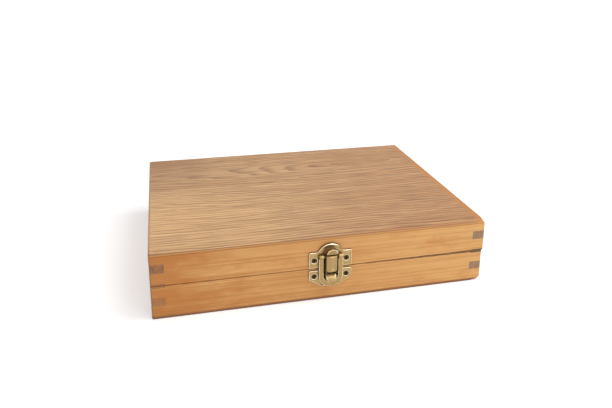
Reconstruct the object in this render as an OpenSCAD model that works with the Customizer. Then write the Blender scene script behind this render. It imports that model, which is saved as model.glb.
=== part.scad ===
// Flat wooden instrument case with a hinged lid, finger-jointed corners and a draw catch.
// Millimetres. +X runs along the front to the right, +Z is up and the front looks along -Y.
// The origin is the centre of the underside.

/* [Case] */
// Outside length of the lid, left to right
case_w = 250; // [220:1:320]
// Outside depth, front to back
case_d = 190; // [170:1:240]
// Outside height, closed
case_h = 50; // [46:1:60]
// Thickness of the side boards
board_t = 10; // [8:0.5:12]
// Thickness of the top and bottom panels
panel_t = 2.4; // [2:0.2:4]
// Height of the seam between base and lid, at the base's rim
seam_z = 25.2; // [24:0.1:27]
// Gap between the two rims, closed
seam_gap = 0.4; // [0.2:0.1:0.6]
// How far the base's right end stands in from the lid
base_inset = 1; // [0:0.1:1.4]
// Radius of the upright corners
corner_r = 1.6; // [1:0.1:2.5]

/* [Finger joints] */
// Underside of the lower side-board finger
low_finger_z = 10.2; // [6:0.1:12]
// Height of the lower side-board finger
low_finger_h = 6.2; // [4:0.1:8]
// Height of the finger that the seam was sawn through
seam_finger_h = 3.2; // [2:0.1:5]
// Underside of the upper side-board finger
high_finger_z = 35.2; // [32:0.1:37]
// Height of the upper side-board finger
high_finger_h = 6.6; // [4:0.1:8]

/* [Fittings inside] */
// Thickness of the felt linings
felt_t = 1; // [0.6:0.1:1.4]
// Thickness of the dividers
divider_t = 5; // [4:0.5:6]
// Height of the dividers' and cradles' top edges
divider_z = 23; // [20:0.5:24]
// Front face of the long divider
long_divider_y = -27; // [-35:1:-20]
// Left face of the left cross divider
left_cross_x = -44.5; // [-70:0.5:-20]
// Left face of the right cross divider
right_cross_x = 24.5; // [0:0.5:60]
// Left face of the left tube cradle
left_cradle_x = -76; // [-90:1:-40]
// Left face of the right tube cradle
right_cradle_x = 44; // [20:1:80]
// Thickness of the tube cradles
cradle_t = 12; // [8:0.5:16]
// Radius of the seat in the tube cradles
cradle_r = 16; // [14:0.5:17]

/* [Hinges] */
// Distance of each hinge's middle from the case's middle
hinge_x = 80; // [60:1:90]
// Length of a hinge
hinge_len = 32; // [28:1:38]
// Width of a leaf on the board
leaf_w = 8.6; // [7:0.1:9]
// Thickness of a leaf
leaf_t = 1; // [0.9:0.1:1.2]
// Outside radius of the knuckles
knuckle_r = 2.3; // [2.1:0.1:2.4]
// Radius of the hinge pin
hinge_pin_r = 1.1; // [0.9:0.1:1.3]

/* [Catch] */
// How far right of the case's middle the catch sits
catch_x = 2.3; // [-10:0.1:10]
// Thickness of the catch's plates
plate_t = 1; // [0.8:0.1:1.2]
// Width of the plates over the ears
plate_w = 32; // [30:0.5:34]
// Outside radius of the ring's arch, which is half the ring's width
ring_outer_r = 9; // [8.6:0.1:9.4]
// Inside radius of the ring's arch
ring_inner_r = 5.4; // [5.2:0.1:5.6]
// Thickness of the ring
ring_t = 1.4; // [1.2:0.1:1.6]
// Width of the lever
lever_w = 8.6; // [8.2:0.1:9.8]
// Wall thickness of the lever
lever_wall = 0.8; // [0.7:0.1:1]

/* [Hidden] */
$fn = 48;

// Colours, as in the photograph
orange_wood = [0.80, 0.55, 0.30];
grey_wood = [0.72, 0.57, 0.42];
inner_wood = [0.86, 0.70, 0.48];
felt_green = [0.20, 0.33, 0.25];
brass = [0.70, 0.60, 0.38];
dark_brass = [0.42, 0.34, 0.20];

// Heights and half sizes that the boards share
eps = 0.01;
lid_z = seam_z + seam_gap;
rim_mid_z = seam_z + seam_gap / 2;
base_w = case_w - base_inset;
base_shift = -base_inset / 2;
frame_top_z = case_h - panel_t;
inner_half_w = base_w / 2 - board_t;
inner_half_d = case_d / 2 - board_t;
floor_z = panel_t + felt_t;
lining_play = 0.2;
low_finger = [low_finger_z, low_finger_z + low_finger_h];
seam_finger = [rim_mid_z - seam_finger_h / 2, rim_mid_z + seam_finger_h / 2];
high_finger = [high_finger_z, high_finger_z + high_finger_h];
cradle_d = 56;
cradle_y = 4;
cradle_centre_z = divider_z + 4;

// Screws: countersunk heads with a crossed recess
screw_head_r = 2.1;
screw_head_h = 1;
catch_shank_r = 1.1;
catch_screw_len = 9;
hinge_head_r = 1.9;
hinge_shank_r = 0.9;
hinge_screw_len = 8;
shank_play = 0.05;
recess_w = 0.6;
recess_depth = 0.6;
recess_reach = 1.3;
recess_turn = 20;

// Hinges
hinge_axis_y = case_d / 2 + knuckle_r + 0.2;
knuckles = 5;
knuckle_gap = 0.2;
knuckle_len = (hinge_len - (knuckles - 1) * knuckle_gap) / knuckles;
hinge_pin_play = 0.05;
leaf_gap = 0.2;
hinge_screw_x = 10;
hinge_screw_y = case_d / 2 - leaf_w / 2;
pocket_play = 0.1;
base_leaf_z = rim_mid_z - leaf_gap / 2 - leaf_t;
lid_leaf_z = rim_mid_z + leaf_gap / 2;

// Catch: the plates' ears, in the catch's own flat, with Y up from the seam and Z outwards
ear_x = 12.05;
upper_ear = [1.2, 13.4];
upper_screw_y = 7.1;
arch_y = 9.2;
arch_r = 10.5;
ear_fillet_r = 3;
ear_corner_r = 0.9;
window_r = 6.2;
window_y = 10.4;
window_sill_y = 9;
lower_ear = [-7.8, -1];
lower_screw_y = -5.6;
lower_point_y = -13.8;
lower_point_half_w = 6;
lower_shoulder = 1;
lever_axis = [-0.7, 3.6];
ring_axis = [10.3, 2.9];
ring_arch_y = -5;
ring_window_y = -4.5;
ring_back = 1.8;
eye_r = 1.5;
lever_pin_r = 0.6;
ring_pin_r = 0.7;
pin_play = 0.05;
fixed_pin_play = 0.02;
lug_x = [2.0, 2.9];
lug_r = 1.1;
lever_front = 6.2;
lever_crown_r = 12;
lever_shoulder_y = 11.8;
lever_tip_y = 18.2;
lever_tip_out = 8.2;
lever_back = 1.5;
hook_w = 8;
hook_out = 4.6;
hook_y = [-9.4, -3.3];
lug_lean = 41;
lug_foot_y = [1, 3.6];
root_out = plate_t - 0.1;

// Sections of the catch's bent pieces, in (out, up): the hook, the lever's channel and its tip
hook_section = [[root_out, hook_y[0]], [hook_out - 0.8, hook_y[0]], [hook_out - 0.2, hook_y[0] + 0.4],
                [hook_out, hook_y[0] + 1.2], [hook_out, hook_y[1] - 3], [hook_out - 0.4, hook_y[1] - 2.1],
                [hook_out - 1.3, hook_y[1] - 1.2], [hook_out - 2.6, hook_y[1] - 0.3],
                [root_out, hook_y[1]]];
lever_section = [[lever_back, lever_axis[0]], [lever_front, lever_axis[0]],
                 [lever_front, lever_shoulder_y], [lever_front - 0.8, lever_shoulder_y + 0.6],
                 [lever_back + 0.6, lever_shoulder_y + 0.6], [lever_back, lever_shoulder_y]];
tip_section = [[lever_front - 1.4, lever_shoulder_y - 0.6], [lever_front - 0.2, lever_shoulder_y - 0.2],
               [lever_front + 0.6, lever_shoulder_y + 1.6], [lever_tip_out - 0.9, lever_shoulder_y + 3.4],
               [lever_tip_out, lever_tip_y - 0.3], [lever_tip_out - 0.9, lever_tip_y],
               [lever_front + 0.1, lever_shoulder_y + 3.6],
               [lever_front - 0.9, lever_shoulder_y + 1.4]];

// Outline of the finger tip across the lever, in the catch's own flat
tip_half_w = lever_w / 2 - 0.2;
tip_end_half_w = lever_w / 2 - 1.4;
tip_outline = [[-tip_half_w, lever_shoulder_y - 1], [tip_half_w, lever_shoulder_y - 1],
               [tip_half_w, lever_shoulder_y + 1.8], [tip_end_half_w, lever_tip_y - 1.9],
               [0, lever_tip_y], [-tip_end_half_w, lever_tip_y - 1.9],
               [-tip_half_w, lever_shoulder_y + 1.8]];

// Upright block with round corners, centred on the case
module rounded_block(w, d, z0, z1) {
    translate([0, 0, z0])
        linear_extrude(z1 - z0) {
            square([w - 2 * corner_r, d], center = true);
            square([w, d - 2 * corner_r], center = true);
            for (x = [-1, 1], y = [-1, 1])
                translate([x * (w / 2 - corner_r), y * (d / 2 - corner_r)])
                    circle(corner_r);
        }
}

// Puts its children on the base, which lies a little to the left under the lid
module on_base() {
    translate([base_shift, 0, 0])
        children();
}

// One span of heights over the whole plan, such as the strip that a finger takes
module layer(span) {
    translate([-case_w, -case_d, span[0]])
        cube([2 * case_w, 2 * case_d, span[1] - span[0]]);
}

// The three strips in which the side boards run through to the front and back faces
module side_strips() {
    layer(low_finger);
    layer(seam_finger);
    layer(high_finger);
}

// The strip of the plan that a front or back board takes, side = -1 in front, 1 behind
module long_strip(side) {
    translate([-case_w, side < 0 ? -case_d / 2 : case_d / 2 - board_t, 0])
        cube([2 * case_w, board_t, case_h]);
}

// The strip that a left or right board takes in a frame of width w, side = -1 left, 1 right
module short_strip(side, w) {
    translate([side < 0 ? -w / 2 : w / 2 - board_t, -case_d, 0])
        cube([board_t, 2 * case_d, case_h]);
}

// Front or back board: whole between the side boards, notched where their fingers come through
module long_board(side, w, z0, z1) {
    difference() {
        intersection() {
            rounded_block(w, case_d, z0, z1);
            long_strip(side);
        }
        intersection() {
            side_strips();
            for (end = [-1, 1])
                short_strip(end, w);
        }
    }
}

// Left or right board: the piece that fills the notches of the long boards
module short_board(side, w, z0, z1) {
    difference() {
        intersection() {
            rounded_block(w, case_d, z0, z1);
            short_strip(side, w);
        }
        difference() {
            for (end = [-1, 1])
                long_strip(end);
            side_strips();
        }
    }
}

// Screw along -Z from its head's face at z = 0
module screw(head_r, shank_r, length) {
    difference() {
        union() {
            translate([0, 0, -screw_head_h])
                cylinder(h = screw_head_h, r1 = shank_r, r2 = head_r);
            translate([0, 0, -length])
                cylinder(h = length - screw_head_h + eps, r = shank_r);
        }
        for (turn = [0, 90])
            rotate([0, 0, turn + recess_turn])
                translate([0, 0, -recess_depth / 2 + eps])
                    cube([recess_reach * head_r, recess_w, recess_depth], center = true);
    }
}

// Room for a screw in a plate: the countersink and the shank's hole
module screw_seat(head_r, shank_r) {
    translate([0, 0, -screw_head_h])
        cylinder(h = screw_head_h, r1 = shank_r, r2 = head_r);
    translate([0, 0, -screw_head_h - 1])
        cylinder(h = 1 + screw_head_h, r = shank_r + shank_play);
}

// Room for a screw's shank in wood, from z = 0 down
module shank_hole(shank_r, length) {
    translate([0, 0, -length - 0.5])
        cylinder(h = length + 1.5, r = shank_r + shank_play);
}

// Places the catch's own flat on the front face: X along it, Y up from the seam, Z outwards
module on_front() {
    translate([catch_x, -case_d / 2, seam_z])
        rotate([90, 0, 0])
            children();
}

// Profile drawn in (out, up), carried along X from x0 to x1 in the catch's own flat
module carried(x0, x1) {
    translate([x0, 0, 0])
        rotate([0, 90, 0])
            linear_extrude(x1 - x0)
                mirror([1, 0])
                    children();
}

// Holes for the catch's two screws at height y, in wood
module catch_shank_holes(y) {
    on_front()
        for (x = [-ear_x, ear_x])
            translate([x, y, plate_t])
                shank_hole(catch_shank_r, catch_screw_len);
}

// Puts its children at each hinge's screw on the given hinge's middle
module at_hinge_screws(middle) {
    for (x = [-hinge_screw_x, hinge_screw_x])
        translate([middle + x, hinge_screw_y, 0])
            children();
}

// Pocket for a leaf in a back board: down from the base's rim, or up from the lid's
module leaf_pockets(z0, z1) {
    for (middle = [-hinge_x, hinge_x])
        translate([middle - hinge_len / 2 - pocket_play, case_d / 2 - leaf_w - pocket_play, z0])
            cube([hinge_len + 2 * pocket_play, leaf_w + 1, z1 - z0]);
}

// Base

module base_front_board() {
    color(orange_wood)
        difference() {
            on_base()
                long_board(-1, base_w, panel_t, seam_z);
            catch_shank_holes(lower_screw_y);
        }
}

module base_back_board() {
    color(orange_wood)
        difference() {
            on_base()
                long_board(1, base_w, panel_t, seam_z);
            leaf_pockets(base_leaf_z, seam_z + 1);
            for (middle = [-hinge_x, hinge_x])
                at_hinge_screws(middle)
                    translate([0, 0, base_leaf_z])
                        shank_hole(hinge_shank_r, hinge_screw_len);
        }
}

module base_side_board(side) {
    color(orange_wood)
        on_base()
            short_board(side, base_w, panel_t, seam_z);
}

module base_bottom_panel() {
    color(grey_wood)
        on_base()
            rounded_block(base_w, case_d, 0, panel_t);
}

module base_lining() {
    color(felt_green)
        on_base()
            translate([-inner_half_w + lining_play, -inner_half_d + lining_play, panel_t])
                cube([2 * (inner_half_w - lining_play), 2 * (inner_half_d - lining_play), felt_t]);
}

module long_divider() {
    color(inner_wood)
        on_base()
            translate([-inner_half_w, long_divider_y, floor_z])
                cube([2 * inner_half_w, divider_t, divider_z - floor_z]);
}

module cross_divider(x) {
    color(inner_wood)
        translate([x, -inner_half_d, floor_z])
            cube([divider_t, long_divider_y + inner_half_d, divider_z - floor_z]);
}

// Block with a half-round seat, in which the instrument's tube lies
module tube_cradle(x) {
    color(inner_wood)
        difference() {
            translate([x, cradle_y, floor_z])
                cube([cradle_t, cradle_d, divider_z - floor_z]);
            translate([x - 1, cradle_y + cradle_d / 2, cradle_centre_z])
                rotate([0, 90, 0])
                    cylinder(h = cradle_t + 2, r = cradle_r, $fn = 96);
        }
}

// Lid

module lid_front_board() {
    color(orange_wood)
        difference() {
            long_board(-1, case_w, lid_z, frame_top_z);
            catch_shank_holes(upper_screw_y);
        }
}

module lid_back_board() {
    color(orange_wood)
        difference() {
            long_board(1, case_w, lid_z, frame_top_z);
            leaf_pockets(lid_z - 1, lid_leaf_z + leaf_t);
            for (middle = [-hinge_x, hinge_x])
                at_hinge_screws(middle)
                    translate([0, 0, lid_leaf_z + leaf_t])
                        mirror([0, 0, 1])
                            shank_hole(hinge_shank_r, hinge_screw_len);
        }
}

module lid_side_board(side) {
    color(orange_wood)
        short_board(side, case_w, lid_z, frame_top_z);
}

module lid_top_panel() {
    color(grey_wood)
        rounded_block(case_w, case_d, frame_top_z, case_h);
}

module lid_lining() {
    color(felt_green)
        translate([-inner_half_w + lining_play, -inner_half_d + lining_play, frame_top_z - felt_t])
            cube([2 * (inner_half_w - lining_play), 2 * (inner_half_d - lining_play), felt_t]);
}

// Hinges: the base's leaf lies just under the axis and the lid's just over it

// Leaf with every second knuckle, first = 0 for the outer ones, 1 for the others
module hinge_leaf(middle, leaf_z, first, head_up) {
    face_z = head_up ? leaf_z + leaf_t : leaf_z;
    color(brass)
        difference() {
            union() {
                translate([middle - hinge_len / 2, case_d / 2 - leaf_w, leaf_z])
                    cube([hinge_len, leaf_w, leaf_t]);
                for (k = [first : 2 : knuckles - 1])
                    translate([middle - hinge_len / 2 + k * (knuckle_len + knuckle_gap), 0, 0]) {
                        translate([0, case_d / 2 - eps, leaf_z])
                            cube([knuckle_len, hinge_axis_y - case_d / 2, leaf_t]);
                        translate([0, hinge_axis_y, rim_mid_z])
                            rotate([0, 90, 0])
                                cylinder(h = knuckle_len, r = knuckle_r);
                    }
            }
            translate([middle - hinge_len, hinge_axis_y, rim_mid_z])
                rotate([0, 90, 0])
                    cylinder(h = 2 * hinge_len, r = hinge_pin_r + hinge_pin_play);
            at_hinge_screws(middle)
                translate([0, 0, face_z])
                    mirror([0, 0, head_up ? 0 : 1])
                        screw_seat(hinge_head_r, hinge_shank_r);
        }
}

module hinge_pin(middle) {
    color(dark_brass)
        translate([middle - hinge_len / 2 - 0.3, hinge_axis_y, rim_mid_z])
            rotate([0, 90, 0])
                cylinder(h = hinge_len + 0.6, r = hinge_pin_r);
}

module hinge_base_screws() {
    color(brass)
        for (middle = [-hinge_x, hinge_x])
            at_hinge_screws(middle)
                translate([0, 0, base_leaf_z + leaf_t])
                    screw(hinge_head_r, hinge_shank_r, hinge_screw_len);
}

module hinge_lid_screws() {
    color(brass)
        for (middle = [-hinge_x, hinge_x])
            at_hinge_screws(middle)
                translate([0, 0, lid_leaf_z])
                    mirror([0, 0, 1])
                        screw(hinge_head_r, hinge_shank_r, hinge_screw_len);
}

// Catch

// Outline of an ear strip with small round corners
module ear_strip(span) {
    translate([-plate_w / 2 + ear_corner_r, span[0]])
        square([plate_w - 2 * ear_corner_r, span[1] - span[0]]);
    translate([-plate_w / 2, span[0] + ear_corner_r])
        square([plate_w, span[1] - span[0] - 2 * ear_corner_r]);
    for (x = [-1, 1], y = [span[0] + ear_corner_r, span[1] - ear_corner_r])
        translate([x * (plate_w / 2 - ear_corner_r), y])
            circle(ear_corner_r);
}

// Hollow curve between the top of an ear and the arch
module ear_fillet() {
    rise = upper_ear[1] + ear_fillet_r - arch_y;
    reach = sqrt(pow(arch_r + ear_fillet_r, 2) - pow(rise, 2));
    touch_y = arch_y + rise * arch_r / (arch_r + ear_fillet_r);
    difference() {
        translate([0, upper_ear[1] - 1])
            square([reach, touch_y - upper_ear[1] + 1]);
        translate([reach, upper_ear[1] + ear_fillet_r])
            circle(ear_fillet_r);
    }
}

// Cheek of the upper plate that carries the lever's pin, drawn in (out, up)
module lug_profile() {
    translate([lever_axis[1], lever_axis[0]])
        circle(lug_r);
    side = lug_r * [cos(lug_lean), sin(lug_lean)];
    middle = [lever_axis[1], lever_axis[0]];
    polygon([[root_out, lug_foot_y[0]], [root_out, lug_foot_y[1]], middle + side, middle - side]);
}

module catch_upper_plate() {
    color(brass)
        on_front()
            difference() {
                union() {
                    linear_extrude(plate_t) {
                        ear_strip(upper_ear);
                        translate([0, arch_y])
                            circle(arch_r, $fn = 96);
                        ear_fillet();
                        mirror([1, 0])
                            ear_fillet();
                    }
                    for (side = [-1, 1])
                        carried(side > 0 ? lug_x[0] : -lug_x[1], side > 0 ? lug_x[1] : -lug_x[0])
                            lug_profile();
                }
                intersection() {
                    translate([0, window_y, -1])
                        cylinder(h = 2 + plate_t, r = window_r);
                    translate([-window_r, window_sill_y, -1])
                        cube([2 * window_r, 2 * window_r, 2 + plate_t]);
                }
                translate([-plate_w, upper_ear[0] - arch_r, -1])
                    cube([2 * plate_w, arch_r, 1 + plate_t]);
                for (x = [-ear_x, ear_x])
                    translate([x, upper_screw_y, plate_t])
                        screw_seat(screw_head_r, catch_shank_r);
                translate([-plate_w, lever_axis[0], lever_axis[1]])
                    rotate([0, 90, 0])
                        cylinder(h = 2 * plate_w, r = lever_pin_r + pin_play);
            }
}

// Taper of the lower plate from its ears to the blunt point
module lower_taper() {
    wide = plate_w / 2 - lower_shoulder;
    polygon([[-wide, lower_ear[0] + eps], [-lower_point_half_w, lower_point_y],
             [lower_point_half_w, lower_point_y], [wide, lower_ear[0] + eps]]);
}

module catch_lower_plate() {
    color(brass)
        on_front()
            difference() {
                union() {
                    linear_extrude(plate_t) {
                        ear_strip(lower_ear);
                        lower_taper();
                    }
                    intersection() {
                        carried(-hook_w / 2, hook_w / 2)
                            polygon(hook_section);
                        linear_extrude(2 * hook_out) {
                            translate([0, hook_y[0] + hook_w / 2])
                                circle(hook_w / 2);
                            translate([-hook_w / 2, hook_y[0] + hook_w / 2])
                                square([hook_w, hook_w]);
                        }
                    }
                }
                for (x = [-ear_x, ear_x])
                    translate([x, lower_screw_y, plate_t])
                        screw_seat(screw_head_r, catch_shank_r);
            }
}

module catch_screws(y) {
    color(dark_brass)
        on_front()
            for (x = [-ear_x, ear_x])
                translate([x, y, plate_t])
                    screw(screw_head_r, catch_shank_r, catch_screw_len);
}

// Side view of the lever's channel, drawn in (out, up)
module lever_profile() {
    translate([lever_axis[1], lever_axis[0]])
        circle(lever_axis[1] - lever_back);
    polygon(lever_section);
}

// Barrel along the lever whose crown the lever's front follows
module crown(r) {
    translate([0, -lever_tip_y, lever_front - lever_crown_r])
        rotate([-90, 0, 0])
            cylinder(h = 3 * lever_tip_y, r = r, $fn = 96);
}

module catch_lever() {
    inner_w = lever_w - 2 * lever_wall;
    color(brass)
        on_front()
            difference() {
                union() {
                    difference() {
                        intersection() {
                            carried(-lever_w / 2, lever_w / 2)
                                lever_profile();
                            crown(lever_crown_r);
                        }
                        intersection() {
                            translate([-inner_w / 2, -lever_tip_y, 0])
                                cube([inner_w, lever_tip_y + lever_shoulder_y - lever_wall,
                                      2 * lever_front]);
                            crown(lever_crown_r - lever_wall);
                        }
                    }
                    intersection() {
                        carried(-lever_w / 2, lever_w / 2)
                            polygon(tip_section);
                        linear_extrude(2 * lever_tip_out)
                            polygon(tip_outline);
                    }
                }
                translate([-lever_w, lever_axis[0], lever_axis[1]])
                    rotate([0, 90, 0])
                        cylinder(h = 2 * lever_w, r = lever_pin_r + fixed_pin_play);
                translate([-lever_w, ring_axis[0], ring_axis[1]])
                    rotate([0, 90, 0])
                        cylinder(h = 2 * lever_w, r = ring_pin_r + fixed_pin_play);
            }
}

module cross_pin(axis, half_len, r) {
    color(dark_brass)
        on_front()
            translate([-half_len, axis[0], axis[1]])
                rotate([0, 90, 0])
                    cylinder(h = 2 * half_len, r = r);
}

module catch_ring() {
    arm_w = ring_outer_r - ring_inner_r;
    color(brass)
        on_front()
            difference() {
                union() {
                    translate([0, 0, ring_back])
                        linear_extrude(ring_t)
                            difference() {
                                union() {
                                    translate([0, ring_arch_y])
                                        circle(ring_outer_r, $fn = 96);
                                    translate([-ring_outer_r, ring_arch_y])
                                        square([2 * ring_outer_r, ring_axis[0] - ring_arch_y]);
                                }
                                translate([0, ring_window_y])
                                    circle(ring_inner_r, $fn = 96);
                                translate([-ring_inner_r, ring_window_y])
                                    square([2 * ring_inner_r, 30]);
                            }
                    for (x0 = [-ring_outer_r, ring_inner_r])
                        translate([x0, ring_axis[0], ring_axis[1]])
                            rotate([0, 90, 0])
                                cylinder(h = arm_w, r = eye_r);
                }
                translate([-2 * ring_outer_r, ring_axis[0], ring_axis[1]])
                    rotate([0, 90, 0])
                        cylinder(h = 4 * ring_outer_r, r = ring_pin_r + pin_play);
            }
}

base_front_board();
base_back_board();
base_side_board(-1);  // base_left_board
base_side_board(1);  // base_right_board
base_bottom_panel();
base_lining();
long_divider();
cross_divider(left_cross_x);  // left_cross_divider
cross_divider(right_cross_x);  // right_cross_divider
tube_cradle(left_cradle_x);  // left_tube_cradle
tube_cradle(right_cradle_x);  // right_tube_cradle
catch_lower_plate();
catch_screws(lower_screw_y);  // catch_lower_screws
hinge_leaf(-hinge_x, base_leaf_z, 0, true);  // left_hinge_base_leaf
hinge_leaf(hinge_x, base_leaf_z, 0, true);  // right_hinge_base_leaf
hinge_pin(-hinge_x);  // left_hinge_pin
hinge_pin(hinge_x);  // right_hinge_pin
hinge_base_screws();
lid_front_board();
lid_back_board();
lid_side_board(-1);  // lid_left_board
lid_side_board(1);  // lid_right_board
lid_top_panel();
lid_lining();
catch_upper_plate();
catch_screws(upper_screw_y);  // catch_upper_screws
hinge_leaf(-hinge_x, lid_leaf_z, 1, false);  // left_hinge_lid_leaf
hinge_leaf(hinge_x, lid_leaf_z, 1, false);  // right_hinge_lid_leaf
hinge_lid_screws();
catch_lever();
cross_pin(lever_axis, lever_w / 2, lever_pin_r);  // catch_lever_pin
cross_pin(ring_axis, ring_outer_r, ring_pin_r);  // catch_ring_pin
catch_ring();
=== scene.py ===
"""Flat wooden instrument case with finger-jointed corners, butt hinges and a brass draw catch.

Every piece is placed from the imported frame. Sizes are in millimetres in the classes below and in
metres in the meshes. The case lies on Z = 0 with its front looking along -Y.
"""

import logging
import math
from collections.abc import Callable, Sequence
from dataclasses import dataclass, field
from enum import Enum
from functools import reduce
from operator import add

import bmesh
import bpy
import numpy as np
from mathutils import Matrix, Vector
from mathutils.geometry import tessellate_polygon


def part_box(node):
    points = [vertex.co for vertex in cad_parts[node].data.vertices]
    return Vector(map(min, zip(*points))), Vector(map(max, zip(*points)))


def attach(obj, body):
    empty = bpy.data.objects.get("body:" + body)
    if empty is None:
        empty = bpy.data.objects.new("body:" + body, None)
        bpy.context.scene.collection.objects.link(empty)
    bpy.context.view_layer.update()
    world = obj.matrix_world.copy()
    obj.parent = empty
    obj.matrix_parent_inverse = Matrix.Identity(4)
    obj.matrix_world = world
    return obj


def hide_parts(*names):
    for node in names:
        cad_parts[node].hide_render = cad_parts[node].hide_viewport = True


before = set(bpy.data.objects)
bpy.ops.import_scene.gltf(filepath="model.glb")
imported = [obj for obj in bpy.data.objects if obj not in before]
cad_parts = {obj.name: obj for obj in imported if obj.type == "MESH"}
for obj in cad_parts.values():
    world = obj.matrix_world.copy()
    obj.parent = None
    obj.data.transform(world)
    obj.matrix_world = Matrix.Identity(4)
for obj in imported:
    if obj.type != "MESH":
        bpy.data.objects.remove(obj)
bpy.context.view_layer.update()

LOG = logging.getLogger("case")
MM = 0.001
PHOTO_W = 612
PHOTO_H = 408

Colour = tuple[int, int, int]
Triple = tuple[float, float, float]


class Body(Enum):
    """The rigid bodies of the frame that pieces ride on."""

    BASE = "base"
    LID = "lid"
    LEVER = "lever"
    RING = "ring"


class Slot(Enum):
    """The record's material slots."""

    BOARD = "board_wood"
    PANEL = "panel_wood"
    FITTING = "fitting_wood"
    FELT = "felt"
    BRASS = "brass"
    DARK_BRASS = "dark_brass"


class Grain(Enum):
    """Which way the fibres of a piece of wood run."""

    ALONG_X = 0
    ALONG_Y = 1


def linear(colour: Colour) -> tuple[float, float, float, float]:
    """Turns a display colour into the linear one that shaders use.

    Args:
        colour: Red, green and blue from 0 to 255.

    Returns:
        Linear red, green and blue, with an alpha of 1.
    """
    level = np.array(colour) / 255.0
    curved = ((level + 0.055) / 1.055) ** 2.4
    return (*np.where(level <= 0.04045, level / 12.92, curved).tolist(), 1.0)


# Surfaces


def placed(name: str, data: bpy.types.ID) -> bpy.types.Object:
    """Puts a new object at the origin of the scene.

    Args:
        name: The object's name.
        data: The mesh, lamp or camera that it shows.

    Returns:
        The object.
    """
    made = bpy.data.objects.new(name, data)
    bpy.context.scene.collection.objects.link(made)
    return made


@dataclass
class Surface:
    """Points in millimetres, the faces between them, and how worn each point is, painted light included.

    Faces come in blocks, each an array with a row of point numbers for each face. The wear value
    runs from 0, where brown oxide stays in hollows and where shade is painted, over 0.5 to 1, where
    hands polish and where highlights are painted.
    """

    points: np.ndarray
    faces: list[np.ndarray]
    wear_and_light: np.ndarray

    def __add__(self, other: "Surface") -> "Surface":
        """Joins two surfaces into one.

        Args:
            other: The surface whose points and faces come after this one's.

        Returns:
            Both surfaces as one, with the other's faces renumbered.
        """
        start = len(self.points)
        return Surface(np.vstack([self.points, other.points]),
                       self.faces + [block + start for block in other.faces],
                       np.concatenate([self.wear_and_light, other.wear_and_light]))

    def mapped(self, rule: Callable[[np.ndarray], np.ndarray]) -> "Surface":
        """The surface with its points sent through a rule that keeps handedness."""
        return Surface(rule(self.points), self.faces, self.wear_and_light)

    def along_x(self, x: float, y: float, z: float) -> "Surface":
        """The surface at a place, its own Z, X and Y axes laid along X, Y and Z."""
        return self.mapped(lambda p: np.roll(p, 1, 1) + (x, y, z))

    def lying(self, low: float, high: float, up: bool) -> "Surface":
        """Puts a sheet whose back is on Z = 0 between two heights.

        Args:
            low: Height of its lower side.
            high: Height of its upper side.
            up: Whether its face looks up. If not, the sheet is mirrored, its faces still outward.

        Returns:
            The moved surface.
        """
        if up:
            return self.mapped(lambda p: p + (0, 0, low))
        turned_round = [block[:, ::-1] for block in self.faces]
        return Surface(self.points * (1, 1, -1) + (0, 0, high), turned_round, self.wear_and_light)

    def mesh(self, name: str) -> bpy.types.Object:
        """Puts the surface into a mesh object, smooth except where it turns by over 32 degrees.

        Args:
            name: The piece's name.

        Returns:
            The new object, at the origin.
        """
        data = bpy.data.meshes.new(name)
        faces = [face for block in self.faces for face in block.tolist()]
        data.from_pydata((self.points * MM).tolist(), [], faces)
        # This attribute holds polish and brown oxide together with painted highlights and painted shade.
        data.attributes.new("wear_and_light", "FLOAT", "POINT").data.foreach_set("value", self.wear_and_light)
        data.shade_smooth()
        data.set_sharp_from_angle(angle=math.radians(32.0))
        data.update()
        return placed(name, data)


def arc(centre: Sequence[float], radius: float, start: float, stop: float, count: int) -> np.ndarray:
    """Points on a circle: the centre plus radius times the cosine and sine of each angle.

    Args:
        centre: The circle's centre.
        radius: Its radius.
        start: First angle in degrees.
        stop: Last angle in degrees.
        count: How many points.

    Returns:
        An array of count points.
    """
    angle = np.radians(np.linspace(start, stop, count))
    return np.asarray(centre) + radius * np.stack([np.cos(angle), np.sin(angle)], 1)


def hole(x: float, y: float, radius: float, count: int) -> np.ndarray:
    """Clockwise outline of a round hole, with count points."""
    return arc((x, y), radius, 360, 0, count + 1)[:-1]


def rounded(corners: Sequence[Triple], steps: int) -> np.ndarray:
    """Closed outline through corners, each turned by an arc that touches both of its sides.

    Args:
        corners: The x, y and radius of each corner, counter-clockwise round the material.
        steps: Points on each arc.

    Returns:
        The outline's points.
    """
    spots = np.array(corners, float)
    bits = []
    for here, before, after in zip(spots, np.roll(spots, 1, 0), np.roll(spots, -1, 0)):
        back = (before - here)[:2] / np.linalg.norm((before - here)[:2])
        ahead = (after - here)[:2] / np.linalg.norm((after - here)[:2])
        half = math.acos(float(np.clip(back @ ahead, -1, 1))) / 2
        middle = here[:2] + (back + ahead) / np.linalg.norm(back + ahead) * here[2] / math.sin(half)
        first = here[:2] + back * here[2] / math.tan(half) - middle
        turn = (math.pi - 2 * half) * -math.copysign(1, back[0] * ahead[1] - back[1] * ahead[0])
        start = math.atan2(first[1], first[0])
        bits.append(arc(middle, here[2], math.degrees(start), math.degrees(start + turn), steps))
    return np.vstack(bits)


def with_extra(loop: np.ndarray, gap: float) -> np.ndarray:
    """The closed outline with more points put evenly into every side longer than a gap.

    Args:
        loop: The outline's points in order.
        gap: Longest side that stays as it is, in millimetres.

    Returns:
        The longer outline.
    """
    ahead = np.roll(loop, -1, 0)
    parts = np.maximum(np.ceil(np.linalg.norm(ahead - loop, axis=1) / gap).astype(int), 1)
    share = np.concatenate([np.arange(n) / n for n in parts])[:, None]
    return np.repeat(loop, parts, 0) * (1 - share) + np.repeat(ahead, parts, 0) * share


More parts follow.
